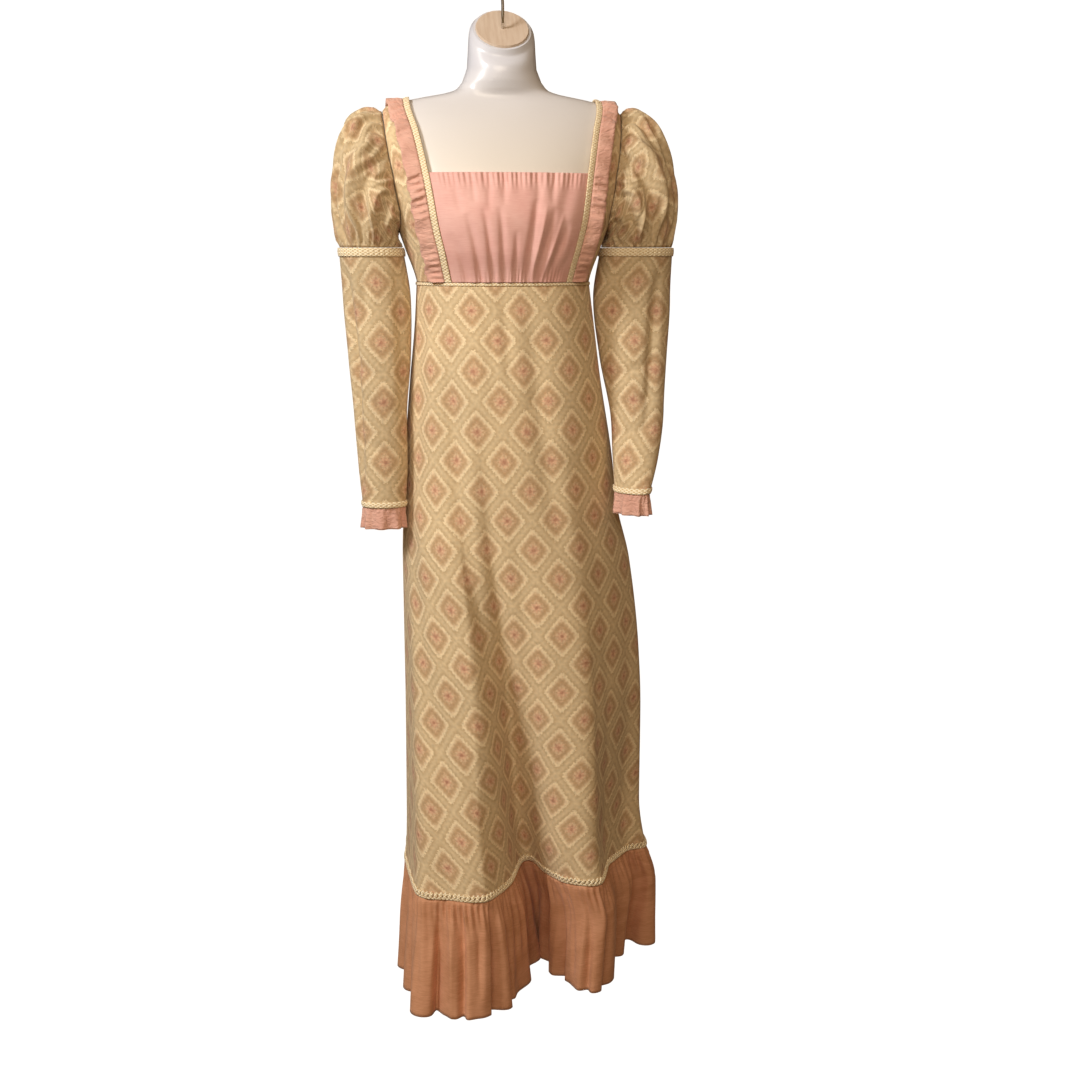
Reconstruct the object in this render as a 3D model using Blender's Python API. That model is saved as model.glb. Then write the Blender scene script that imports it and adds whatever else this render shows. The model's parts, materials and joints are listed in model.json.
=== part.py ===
"""A long prairie dress hanging on a limbless torso form, in metres.

+Z is up, the dress faces -Y and its wearer's right arm is at -X. The origin is the seat of the
form's hook, where a rail carries it. Every height below is counted up from the flounce's hem, and
at_origin() turns such a height into the frame's Z.

Each piece of cloth is a thin closed wall between two copies of one worked-out surface, the inner
copy and the same surface moved out by the wall's thickness.
"""

import bmesh
import bpy
import numpy as np
from math import cos, pi, radians, sin

# Driving sizes
HOOK_SEAT = 1.617
CLOTH = 0.0016
LACE = 0.0012
SEAM_GAP = 0.0003
WAIST_SEAM = 1.115
NECKLINE = 1.274
BACK_NECKLINE = 1.335
UNDERARM = 1.190
SHOULDER_TIP = 1.360
FLOUNCE_SEAM = 0.180

SIDES = {"left": -1, "right": 1}
FRONT, BACK = -1, 1


class Table:
    """Rows of sizes with named columns, read between rows by a smooth curve that never overshoots."""

    def __init__(self, columns, rows):
        self.columns = columns.split()
        self.rows = np.array(rows, float)

    def __call__(self, name, at):
        knots = self.rows[:, 0]
        values = self.rows[:, self.columns.index(name)]
        return smooth_at(knots, values, at)


def smooth_at(knots, values, at):
    """Cubic between knots, with the harmonic mean of the two slopes at each one."""
    step = np.diff(knots)
    slope = np.diff(values) / step
    product = slope[:-1] * slope[1:]
    total = np.where(product > 0, slope[:-1] + slope[1:], 1.0)
    inner = np.where(product > 0, 2 * product / total, 0.0)
    tangent = np.concatenate([slope[:1], inner, slope[-1:]])
    at = np.asarray(at, float)
    i = np.clip(np.searchsorted(knots, at) - 1, 0, len(step) - 1)
    s = np.clip((at - knots[i]) / step[i], 0, 1)
    return (
        (2 * s**3 - 3 * s**2 + 1) * values[i]
        + (s**3 - 2 * s**2 + s) * step[i] * tangent[i]
        + (3 * s**2 - 2 * s**3) * values[i + 1]
        + (s**3 - s**2) * step[i] * tangent[i + 1]
    )


# The form's own outline by height. Ease is the room between it and the cloth.
TORSO = Table(
    "height half_width front back squareness ease",
    [
        (0.700, 0.118, 0.072, 0.080, 2.2, 0.005),
        (0.735, 0.136, 0.090, 0.098, 2.2, 0.005),
        (0.800, 0.144, 0.097, 0.110, 2.3, 0.005),
        (0.900, 0.136, 0.092, 0.108, 2.3, 0.005),
        (1.000, 0.121, 0.086, 0.090, 2.3, 0.005),
        (1.060, 0.119, 0.088, 0.084, 2.3, 0.005),
        (1.115, 0.126, 0.096, 0.085, 2.3, 0.005),
        (1.165, 0.143, 0.113, 0.090, 2.3, 0.005),
        (1.205, 0.157, 0.117, 0.095, 2.3, 0.005),
        (1.250, 0.170, 0.108, 0.099, 2.3, 0.005),
        (1.274, 0.175, 0.100, 0.099, 2.3, 0.004),
        (1.300, 0.180, 0.089, 0.097, 2.3, 0.004),
        (1.335, 0.184, 0.071, 0.088, 2.2, 0.0030),
        (1.355, 0.183, 0.058, 0.076, 2.1, 0.0018),
        (1.368, 0.176, 0.048, 0.064, 2.0, 0.0014),
        (1.376, 0.161, 0.042, 0.056, 2.0, 0.0014),
        (1.383, 0.140, 0.038, 0.051, 2.0, 0.0014),
        (1.389, 0.110, 0.037, 0.049, 2.0, 0.0014),
        (1.393, 0.088, 0.038, 0.049, 2.0, 0.0014),
        (1.399, 0.070, 0.041, 0.049, 2.0, 0.0014),
        (1.410, 0.060, 0.045, 0.050, 2.0, 0.0014),
    ],
)

# The neck above it: rings that lean forward until the slanted cap.
NECK = Table(
    "step height centre_y radius_x radius_y lean_deg",
    [
        (0, 1.430, 0.001, 0.0525, 0.0480, 10),
        (1, 1.452, 0.001, 0.0510, 0.0500, 24),
        (2, 1.470, 0.000, 0.0500, 0.0510, 38),
        (3, 1.480, -0.001, 0.0485, 0.0510, 44),
        (4, 1.4855, -0.0065, 0.0435, 0.0460, 45),
    ],
)

# Princess seam and neckline edge, as distance from the centre line.
PRINCESS = Table(
    "height front back",
    [
        (1.115, 0.086, 0.080),
        (1.150, 0.094, 0.088),
        (1.200, 0.106, 0.100),
        (1.250, 0.114, 0.112),
        (1.274, 0.118, 0.116),
        (1.335, 0.130, 0.128),
        (1.380, 0.1405, 0.1405),
        (1.410, 0.1405, 0.1405),
    ],
)

# Armhole edge, as a share of the torso's half width.
ARMHOLE = Table(
    "height share",
    [
        (1.190, 1.000),
        (1.203, 0.965),
        (1.225, 0.940),
        (1.270, 0.930),
        (1.310, 0.935),
        (1.340, 0.955),
        (1.360, 0.980),
    ],
)

# The skirt and flounce without their folds.
SKIRT = Table(
    "height left right front back squareness",
    [
        (0.000, -0.166, 0.246, 0.200, 0.190, 2.4),
        (0.120, -0.164, 0.252, 0.192, 0.182, 2.4),
        (0.180, -0.162, 0.235, 0.187, 0.177, 2.4),
        (0.270, -0.160, 0.222, 0.180, 0.170, 2.4),
        (0.430, -0.160, 0.221, 0.170, 0.162, 2.4),
        (0.530, -0.160, 0.216, 0.163, 0.155, 2.4),
        (0.680, -0.160, 0.198, 0.152, 0.145, 2.4),
        (0.770, -0.157, 0.177, 0.144, 0.137, 2.3),
        (0.850, -0.153, 0.168, 0.136, 0.128, 2.3),
        (0.970, -0.143, 0.149, 0.122, 0.112, 2.3),
        (1.050, -0.135, 0.139, 0.110, 0.099, 2.3),
        (1.115, -0.131, 0.131, 0.101, 0.090, 2.3),
    ],
)

# Where the hem hangs: each row is a crest or valley of a fold, below a place on the waist.
FOLDS = Table(
    "waist_deg hem_x hem_y",
    [
        (-62, -0.158, -0.178),
        (-35, -0.104, -0.197),
        (-12, -0.048, -0.206),
        (-4, 0.013, -0.115),
        (4, 0.058, 0.008),
        (11, 0.073, -0.070),
        (20, 0.096, -0.130),
        (36, 0.138, -0.150),
        (47, 0.166, -0.050),
        (62, 0.200, 0.000),
        (80, 0.247, 0.010),
        (100, 0.242, 0.075),
        (118, 0.192, 0.128),
        (134, 0.166, 0.188),
        (150, 0.112, 0.156),
        (166, 0.074, 0.206),
        (182, 0.030, 0.166),
        (199, -0.014, 0.208),
        (217, -0.060, 0.160),
        (235, -0.108, 0.188),
        (254, -0.150, 0.128),
        (272, -0.160, 0.060),
        (285, -0.169, -0.010),
    ],
)
FOLDS_START = 0.93
FOLDS_DRIFT = 24.0

# Sleeves below the puff. Turn is how far the flattened tube has swung round its own axis.
SLEEVES = {
    "left": Table(
        "height centre_x centre_y half_width half_depth turn_deg",
        [
            (0.778, 0.1905, -0.056, 0.0310, 0.0240, 0),
            (0.840, 0.1910, -0.048, 0.0360, 0.0280, 4),
            (0.920, 0.1930, -0.036, 0.0390, 0.0330, 6),
            (1.000, 0.1920, -0.018, 0.0460, 0.0370, 4),
            (1.090, 0.1940, -0.006, 0.0500, 0.0400, 0),
            (1.166, 0.2015, 0.000, 0.0470, 0.0430, 0),
        ],
    ),
    "right": Table(
        "height centre_x centre_y half_width half_depth turn_deg",
        [
            (0.800, 0.1840, -0.113, 0.0310, 0.0190, 58),
            (0.850, 0.1930, -0.090, 0.0360, 0.0240, 42),
            (0.920, 0.2010, -0.058, 0.0405, 0.0300, 22),
            (1.000, 0.2015, -0.022, 0.0510, 0.0360, 9),
            (1.090, 0.2020, -0.004, 0.0590, 0.0400, 2),
            (1.166, 0.2095, 0.000, 0.0550, 0.0430, 0),
        ],
    ),
}
PUFF_END = 1.1665
PUFF_LEAVE = {"left": (0.195, 0.125), "right": (0.150, 0.165)}
BAND_TOP, BAND_BOTTOM = 1.1661, 1.153
WRISTS = {"left": 0.778, "right": 0.800}
WRIST_LACE = 0.0085
CUFF_DEEP = 0.033

# Gathers and waves: how many there are, and half their depth where they are deepest
FLOUNCE_WAVES = 28
WAVE_AT_SEAM, WAVE_AT_HEM = 0.0012, 0.0074
FLOUNCE_FLARE = 0.005
RUFFLE_WAVES = 18
RUFFLE_WAVE = 0.0050
RUFFLE_STAND, RUFFLE_FLARE = 0.0085, 0.014
PUFF_WAVES = 10
PUFF_WAVE = 0.0045
CUFF_WAVES = 9
CUFF_WAVE = 0.0026
CUFF_FLARE = 0.0012
TOP_GATHERS = 9
TOP_GATHER = 0.0014
WAIST_GATHERS = 9
WAIST_GATHER = 0.0024
BUST_FULLNESS = 0.006

# Zip
ZIP_BOTTOM = 0.970
ZIP_OPENING = 0.0015
TAPE_HALF = 0.011
TAPE_THICK = 0.0008
TAPE_BEHIND = 0.0011

# Hook and cap
CAP_THICK = 0.003
WIRE = 0.0022
HOOK_BEND = 0.024


def at_origin(points):
    """Heights above the hem become Z below the hook's seat."""
    return points - np.array([0, 0, HOOK_SEAT])


def unit(vectors):
    return vectors / np.linalg.norm(vectors, axis=-1, keepdims=True)


def fade(value, start, end):
    """0 up to start, 1 past end, and an S between."""
    s = np.clip((value - start) / (end - start), 0, 1)
    return s * s * (3 - 2 * s)


def material(name, colour, roughness, metallic=0.0):
    mat = bpy.data.materials.new(name)
    mat.use_nodes = True
    shader = mat.node_tree.nodes["Principled BSDF"]
    shader.inputs["Base Color"].default_value = (*colour, 1)
    shader.inputs["Roughness"].default_value = roughness
    shader.inputs["Metallic"].default_value = metallic
    return mat


PRINT = ("lattice_cotton", (0.66, 0.50, 0.32), 0.85)
PINK = ("pink_cotton", (0.76, 0.42, 0.34), 0.80)
CREAM = ("cream_lace", (0.85, 0.70, 0.48), 0.85)
PLASTIC = ("white_plastic", (0.80, 0.78, 0.75), 0.35)
CAP = ("beige_cap", (0.68, 0.56, 0.44), 0.50)
STEEL = ("hook_steel", (0.60, 0.58, 0.55), 0.30, 1.0)
TAPE = ("zip_tape", (0.62, 0.50, 0.36), 0.80)


def add_object(name, points, faces, finish, smooth=True):
    """Makes the named object from points in heights above the hem, with its own material."""
    mesh = bpy.data.meshes.new(name)
    mesh.from_pydata(at_origin(np.asarray(points).reshape(-1, 3)).tolist(), [], faces)
    shape = bmesh.new()
    shape.from_mesh(mesh)
    bmesh.ops.recalc_face_normals(shape, faces=shape.faces)
    if shape.calc_volume(signed=True) < 0:
        bmesh.ops.reverse_faces(shape, faces=shape.faces)
    shape.to_mesh(mesh)
    shape.free()
    mesh.materials.append(material(name + "_" + finish[0], *finish[1:]))
    if smooth:
        mesh.shade_smooth()
        mesh.set_sharp_from_angle(angle=radians(50))
    obj = bpy.data.objects.new(name, mesh)
    bpy.context.scene.collection.objects.link(obj)
    return obj


def grid_faces(rows, columns, round_, keep=None):
    """Triangles of a grid of points, every square split the same way so that layers stay apart.

    round_ joins the last column to the first, and keep says which squares there are.
    """
    faces = []
    for r in range(rows - 1):
        for c in range(columns if round_ else columns - 1):
            if keep is None or keep[r][c]:
                d = (c + 1) % columns
                a, b = r * columns + c, r * columns + d
                faces += [(a, b, b + columns), (a, b + columns, a + columns)]
    return faces


def rim(faces):
    """The edges that only one triangle has, each in that triangle's direction."""
    edges = [(f[i], f[(i + 1) % 3]) for f in faces for i in range(3)]
    known = set(edges)
    return [(a, b) for a, b in edges if (b, a) not in known]


def cloth(name, surface, finish, thickness=CLOTH, round_=False, keep=None, side=1):
    """A closed wall: surface(out) gives the grid of points that lies `out` above the inner face."""
    inner, outer = surface(0.0), surface(thickness)
    rows, columns = inner.shape[:2]
    wall = grid_faces(rows, columns, round_, keep)
    count = rows * columns
    faces = list(wall)
    faces += [tuple(count + i for i in reversed(face)) for face in wall]
    faces += [(b, a, count + a, count + b) for a, b in rim(wall)]
    points = np.concatenate([inner.reshape(-1, 3), outer.reshape(-1, 3)])
    used = sorted({i for face in faces for i in face})
    place = {old: new for new, old in enumerate(used)}
    points = points[used] * np.array([side, 1, 1])
    return add_object(name, points, [tuple(place[i] for i in face) for face in faces], finish)


def solid_loft(name, rings, finish):
    """A closed solid through rings of points, with a fan over each end."""
    rings = np.asarray(rings)
    count, around = rings.shape[:2]
    points = np.concatenate([rings.reshape(-1, 3), [rings[0].mean(0)], [rings[-1].mean(0)]])
    faces = grid_faces(count, around, True)
    first, last = count * around, count * around + 1
    faces += [((c + 1) % around, c, first) for c in range(around)]
    end = (count - 1) * around
    faces += [(end + c, end + (c + 1) % around, last) for c in range(around)]
    return add_object(name, points, faces, finish)


def even(points, count):
    """The points of a run, placed again at equal distances along it."""
    run = np.concatenate([[0], np.cumsum(np.linalg.norm(np.diff(points, axis=0), axis=1))])
    at = np.linspace(0, run[-1], count)
    return np.stack([np.interp(at, run, points[:, i]) for i in range(3)], axis=1)


# The torso: sections up to the shoulders


def lift(height):
    """How much of an outward move goes up instead, near the flat of the shoulders."""
    return fade(height, 1.30, 1.37)


def half_width(height, out):
    """The section's half width with the surface moved out, and the height it is read at."""
    read = height - out * lift(height)
    return TORSO("half_width", read) + out * (1 - 0.7 * lift(height)), read


def torso_y(x, height, out, face):
    """Depth of the torso's surface at x: a superellipse through the section's width and depth."""
    width, read = half_width(height, out)
    depth = TORSO("front" if face == FRONT else "back", read) + out
    power = TORSO("squareness", read)
    inside = 1 - np.clip(np.abs(x) / width, 0, 1) ** power
    return face * depth * inside ** (1 / power)


def torso_point(x, height, out, face):
    x, height = np.broadcast_arrays(x, height)
    return np.stack([x, torso_y(x, height, out, face), height], axis=-1)


def cloth_out(height, layer):
    return TORSO("ease", height) + layer


def armhole_x(height, layer):
    read = np.minimum(height, SHOULDER_TIP)
    return ARMHOLE("share", read) * half_width(read, cloth_out(read, layer))[0]


def princess_x(height, face):
    return PRINCESS("front" if face == FRONT else "back", height)


def up_the_shoulder(x_at, bottom, face, layer, count, dense=260):
    """A column of points from a height up to the shoulder line, where x_at meets the half width."""
    search = np.linspace(1.33, 1.405, 1501)
    spare = half_width(search, cloth_out(search, layer))[0] - x_at(search)
    first = np.argmax(spare < 0)
    share = spare[first - 1] / (spare[first - 1] - spare[first])
    top = search[first - 1] + share * (search[1] - search[0])
    height = top - (top - bottom) * (1 - np.linspace(0, 1, dense)) ** 2
    return even(torso_point(x_at(height), height, cloth_out(height, layer), face), count)


def build_form():
    around = 26
    angle = np.arange(around) * 2 * pi / around
    heights = [0.700, 0.735, 0.80, 0.90, 1.00, 1.115, 1.165, 1.205, 1.25, 1.30, 1.335]
    heights += [1.355, 1.368, 1.376, 1.383, 1.389, 1.393, 1.399, 1.410]
    rings = []
    for height in heights:
        width = TORSO("half_width", height)
        power = TORSO("squareness", height)
        depth = np.where(np.sin(angle) < 0, TORSO("front", height), TORSO("back", height))
        x = width * np.sign(np.cos(angle)) * np.abs(np.cos(angle)) ** (2 / power)
        y = depth * np.sign(np.sin(angle)) * np.abs(np.sin(angle)) ** (2 / power)
        rings.append(np.stack([x, y, np.full(around, height)], axis=1))
    base = rings[0] * np.array([0.8, 0.8, 1]) - np.array([0, 0, 0.008])
    rings.insert(0, base)
    rings += [neck_ring(step, angle) for step in range(5)]
    solid_loft("torso_form", rings, PLASTIC)


def neck_ring(step, angle, shrink=1.0, along=0.0):
    """A ring of the neck: an ellipse leaned forward, moved along its own axis by `along`."""
    lean = radians(float(NECK("lean_deg", step)))
    x = NECK("radius_x", step) * shrink * np.cos(angle)
    flat = NECK("radius_y", step) * shrink * np.sin(angle)
    y = NECK("centre_y", step) + flat * cos(lean) - along * sin(lean)
    height = NECK("height", step) + flat * sin(lean) + along * cos(lean)
    return np.stack([x, y, height], axis=1)


def build_cap_and_hook():
    angle = np.arange(24) * 2 * pi / 24
    low = neck_ring(4, angle, 0.93, SEAM_GAP)
    high = neck_ring(4, angle, 0.90, SEAM_GAP + CAP_THICK)
    solid_loft("neck_cap", [low, high], CAP)
    foot = neck_ring(4, angle, 0.0, SEAM_GAP * 2 + CAP_THICK)[0]
    off = np.array([0, -sin(radians(45)), cos(radians(45))])
    top = HOOK_SEAT + WIRE - HOOK_BEND
    turns = np.radians(np.arange(75, -126, -25))
    arc = [(HOOK_BEND * sin(a), 0, top + HOOK_BEND * cos(a)) for a in turns]
    route = [foot, foot + off * 0.006, foot + off * 0.010 + np.array([0, 0.001, 0.006])]
    route += [(0, foot[1] - 0.006, foot[2] + 0.030)]
    route += [(0, -0.004, top - 0.050), (0.008, 0, top - 0.024), (0.021, 0, top - 0.008)] + arc
    curve = bpy.data.curves.new("hook", "CURVE")
    curve.dimensions = "3D"
    curve.bevel_depth = WIRE
    curve.bevel_resolution = 2
    curve.use_fill_caps = True
    spline = curve.splines.new("POLY")
    points = at_origin(smooth_route(np.array(route, float), 26))
    spline.points.add(len(points) - 1)
    for node, place in zip(spline.points, points):
        node.co = (*place, 1)
    curve.materials.append(material("hook_steel", *STEEL[1:]))
    bpy.context.scene.collection.objects.link(bpy.data.objects.new("hook", curve))


def smooth_route(route, count):
    """A smooth curve through a route's points, read at equal distances."""
    run = np.concatenate([[0], np.cumsum(np.linalg.norm(np.diff(route, axis=0), axis=1))])
    dense = np.linspace(0, run[-1], 600)
    return even(np.stack([smooth_at(run, route[:, i], dense) for i in range(3)], axis=1), count)


# Bodice

FIRST_ROWS = [WAIST_SEAM + SEAM_GAP, 1.138, 1.164, UNDERARM, 1.203, 1.225]
BODICE_ROWS = np.array(FIRST_ROWS + [1.250, NECKLINE])


def build_bodice_front():
    """Pink centre front, fullest below the bust, gathered into the neckline and the waist seam."""
    across = np.linspace(-1, 1, 33)

    def surface(out):
        height = BODICE_ROWS[:, None]
        edge = princess_x(height, FRONT) - SEAM_GAP
        side_fade = 1 - np.abs(across) ** 6
        top = fade(height, NECKLINE - 0.045, NECKLINE)
        low = 1 - fade(height, WAIST_SEAM, WAIST_SEAM + 0.070)
        full = BUST_FULLNESS * np.sin(pi * np.clip((height - WAIST_SEAM) / (NECKLINE - WAIST_SEAM), 0, 1)) ** 1.5
        gathers = TOP_GATHER * top * np.cos(pi * TOP_GATHERS * across + 0.6 * np.sin(5 * across))
        tucks = WAIST_GATHER * low * (1.08 + np.cos(pi * WAIST_GATHERS * across + 1.1 * np.sin(3 * across)))
        layer = out + side_fade * (full + gathers + tucks)
        return torso_point(across * edge, height, cloth_out(height, layer), FRONT)

    cloth("bodice_front", surface, PINK)


# Columns of the side panels: the lace and the ruffle lie on the first ones, the rest reach the edge.
TRIM_WIDTH = 0.009
RUFFLE_START = 0.0097
RUFFLE_WIDTH = 0.024
PANEL_OFFSETS = (0.0, RUFFLE_START, RUFFLE_START + RUFFLE_WIDTH)
EDGE_SHARES = (0.5, 0.82, 1.0)
LOW_ROWS = {FRONT: BODICE_ROWS, BACK: np.array(FIRST_ROWS + [1.260, 1.300, BACK_NECKLINE])}
HIGH_ROWS = {FRONT: 9, BACK: 7}


def edge_x(height, layer):
    """The side seam below the underarm, the armhole above it."""
    side = half_width(height, cloth_out(height, layer))[0]
    return np.where(height < UNDERARM, side, armhole_x(height, layer))


def panel_grid(face, layer, offsets=PANEL_OFFSETS, shares=EDGE_SHARES):
    """Columns from the princess line outward, each from the waist seam up to the shoulder line."""
    low_rows = LOW_ROWS[face]
    columns = []

    def add(x_at):
        low = torso_point(x_at(low_rows), low_rows, cloth_out(low_rows, layer), face)
        high = up_the_shoulder(x_at, low_rows[-1], face, layer, HIGH_ROWS[face])
        columns.append(np.concatenate([low, high[1:]]))

    for offset in offsets:
        add(lambda height, offset=offset: princess_x(height, face) + offset)
    last = PANEL_OFFSETS[-1]
    for share in shares:
        def x_at(height, share=share):
            inner = princess_x(height, face) + last
            return inner + share * (edge_x(height, layer) - inner)

        add(x_at)
    return np.stack(columns, axis=1)


def part_at_seams(points, face):
    """Draws a side panel back from the side seam and from the shoulder seam."""
    below = LOW_ROWS[face] < UNDERARM
    points[: len(below), -1, 1] += np.where(below, face * SEAM_GAP, 0)
    points[-1, :, 1] += face * SEAM_GAP
    return points


def build_side_fronts():
    for name, side in SIDES.items():
        cloth("side_front_" + name, lambda out: part_at_seams(panel_grid(FRONT, out), FRONT), PRINT, side=side)


def build_backs():
    """Plain backs: the panel up to the back neckline, then only the strap's columns."""
    shares = np.linspace(0, 1, 5)[:-1]
    rows = LOW_ROWS[BACK]

    def surface(out):
        strap = part_at_seams(panel_grid(BACK, out), BACK)
        height = rows[:, None]
        x = ZIP_OPENING + shares * (princess_x(height, BACK) - ZIP_OPENING)
        near = torso_point(x, height, cloth_out(height, out), BACK)
        spare = np.repeat(strap[len(rows):, :1], len(shares), axis=1)
        return np.concatenate([np.concatenate([near, spare]), strap], axis=1)

    columns = len(shares) + len(PANEL_OFFSETS) + len(EDGE_SHARES) - 1
    last = len(rows) + HIGH_ROWS[BACK] - 1
    keep = [[r < len(rows) - 1 or c >= len(shares) for c in range(columns)] for r in range(last)]
    for name, side in SIDES.items():
        cloth("bodice_back_" + name, surface, PRINT, keep=keep, side=side)


ON_PANEL = CLOTH + SEAM_GAP + 0.0003


def over_shoulder(offsets, layer):
    """The panels' own columns, from the front waist seam over the shoulder to the back one."""
    front = panel_grid(FRONT, layer, offsets, ())
    back = panel_grid(BACK, layer, offsets, ())
    return np.concatenate([front, back[::-1][1:]])


def build_neck_trims():
    offsets = (0.0004, 0.0004 + TRIM_WIDTH)
    for name, side in SIDES.items():
        cloth("neck_trim_" + name, lambda out: over_shoulder(offsets, ON_PANEL + out), CREAM, LACE, side=side)


def build_ruffles():
    """Gathered strips that stand off the side panels, their waves growing to the free edge."""
    count = RUFFLE_WAVES * 4 + 1
    across = np.array([0.0, 1.0])
    along = np.linspace(0, 1, count)[:, None]

    def rows(layer):
        strip = over_shoulder(PANEL_OFFSETS[1:], layer)
        return np.stack([even(strip[:, c], count) for c in range(2)], axis=1)

    low = rows(ON_PANEL + 0.0002)
    off = unit(rows(ON_PANEL + 0.004) - low)
    wave = np.cos(2 * pi * RUFFLE_WAVES * along + 0.9 * np.sin(9 * along))
    deep = 0.75 + 0.25 * np.sin(2 * pi * 5 * along + 1)
    for name, side in SIDES.items():
        flare = np.exp(-(((along - 0.13) / 0.09) ** 2)) * (RUFFLE_FLARE if side > 0 else 0.0)
        rise = across * (RUFFLE_STAND + flare + RUFFLE_WAVE * wave * deep)
        cloth("ruffle_" + name, lambda out: low + off * (rise + out)[..., None], PINK, LACE, side=side)


# Skirt and flounce


def skirt_base(degrees, height):
    """The skirt without folds: a superellipse whose four reaches come from the table."""
    angle = np.radians(degrees)
    left, right = SKIRT("left", height), SKIRT("right", height)
    power = 2 / SKIRT("squareness", height)
    depth = np.where(np.cos(angle) > 0, -SKIRT("front", height), -SKIRT("back", height))
    x = (left + right) / 2 + (right - left) / 2 * np.sign(np.sin(angle)) * np.abs(np.sin(angle)) ** power
    y = depth * np.sign(np.cos(angle)) * np.abs(np.cos(angle)) ** power
    return x, y


def fold_shift(degrees):
    """How far the folded hem lies from the plain one, smooth all the way round."""
    places = FOLDS.rows[:, 0]
    base_x, base_y = skirt_base(places, 0.0)
    turn = 360.0
    ends = np.concatenate([places[-3:] - turn, places, places[:3] + turn])
    shifts = []
    for column, base in ((1, base_x), (2, base_y)):
        shift = FOLDS.rows[:, column] - base
        shifts.append(smooth_at(ends, np.concatenate([shift[-3:], shift, shift[:3]]), degrees))
    return shifts


def skirt_line(degrees, height):
    """The hanging cloth's line at a height: the folds grow from nothing to the hem's own."""
    drift = FOLDS_DRIFT * height * np.exp(-((wrapped(degrees) / 60) ** 2))
    x, y = skirt_base(degrees - drift, height)
    grown = np.clip((FOLDS_START - height) / FOLDS_START, 0, 1) ** 1.5
    shift_x, shift_y = fold_shift(np.mod(degrees + 75, 360) - 75)
    return x + grown * shift_x, y + grown * shift_y


def wrapped(degrees):
    return np.mod(np.asarray(degrees) + 180, 360) - 180


def skirt_point(degrees, height, out):
    """A point of the skirt moved out across the line it hangs in."""
    degrees, height, out = np.broadcast_arrays(degrees, height, out)
    x, y = skirt_line(degrees, height)
    ahead = skirt_line(degrees + 0.2, height)
    behind = skirt_line(degrees - 0.2, height)
    along_x, along_y = ahead[0] - behind[0], ahead[1] - behind[1]
    length = np.hypot(along_x, along_y)
    return np.stack([x + out * along_y / length, y - out * along_x / length, height], axis=-1)


def hem_shares(first, last, count, blend=0.35):
    """Angles between two places, near together where the hem runs deep into a fold."""
    dense = np.linspace(first, last, 1441)
    x, y = skirt_line(dense, 0.1)
    run = np.concatenate([[0], np.cumsum(np.hypot(np.diff(x), np.diff(y)))])
    measure = run / run[-1] * (1 - blend) + (dense - first) / (last - first) * blend
    return np.interp(np.linspace(0, 1, count), measure, dense)


SIDE_LEFT, SIDE_RIGHT, CENTRE_BACK = -85.0, 95.0, 180.0
SEAM_DEG = 0.10
PANELS = {
    "skirt_front": (SIDE_LEFT + SEAM_DEG, SIDE_RIGHT - SEAM_DEG, 39),
    "skirt_back_right": (SIDE_RIGHT + SEAM_DEG, CENTRE_BACK, 18),
    "skirt_back_left": (CENTRE_BACK, SIDE_LEFT + 360 - SEAM_DEG, 18),
}


SKIRT_HEIGHTS = np.array(
    [0.1803, 0.1905, 0.29, 0.41, 0.55, 0.70, 0.84, ZIP_BOTTOM, 1.05, WAIST_SEAM - 0.0045, WAIST_SEAM - SEAM_GAP]
)


def panel_places(name):
    """Angles of a skirt panel's columns by row, drawn back from the centre back for the zip."""
    first, last, count = PANELS[name]
    places = np.repeat(hem_shares(first, last, count)[None], len(SKIRT_HEIGHTS), axis=0)
    if name != "skirt_front":
        right = name == "skirt_back_right"
        ahead = np.array(skirt_line(np.full(len(SKIRT_HEIGHTS), CENTRE_BACK + 0.5), SKIRT_HEIGHTS))
        behind = np.array(skirt_line(np.full(len(SKIRT_HEIGHTS), CENTRE_BACK - 0.5), SKIRT_HEIGHTS))
        per_degree = np.hypot(*(ahead - behind))
        half_gap = np.where(SKIRT_HEIGHTS >= ZIP_BOTTOM, ZIP_OPENING, SEAM_GAP) / per_degree
        places[:, -1 if right else 0] += -half_gap if right else half_gap
    return places


def build_skirt():
    for name in PANELS:
        places = panel_places(name)
        cloth(name, lambda out: skirt_point(places, SKIRT_HEIGHTS[:, None], out), PRINT)


def build_flounce():
    """Gathered strip below the seam; its waves start small and roll out to the hem."""
    heights = np.array([0.0, 0.09, FLOUNCE_SEAM - SEAM_GAP])
    waves = FLOUNCE_WAVES // 2
    along = np.linspace(0, 1, waves * 6 + 1)
    down = ((FLOUNCE_SEAM - heights) / FLOUNCE_SEAM)[:, None]
    wave = np.cos(2 * pi * waves * along + 1.3 * np.sin(11 * along))
    deep = 0.8 + 0.2 * np.sin(23 * along + 1)
    edge = 1 - np.abs(2 * along - 1) ** 40
    layer = edge * (FLOUNCE_FLARE * down**0.7 + (WAVE_AT_SEAM + WAVE_AT_HEM * down**0.8) * wave * deep)
    for name, first, last in (("front", SIDE_LEFT, SIDE_RIGHT), ("back", SIDE_RIGHT, SIDE_LEFT + 360)):
        places = hem_shares(first + SEAM_DEG, last - SEAM_DEG, len(along), 0.05)
        cloth("flounce_" + name, lambda out: skirt_point(places[None], heights[:, None], layer + out), PINK)


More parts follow.
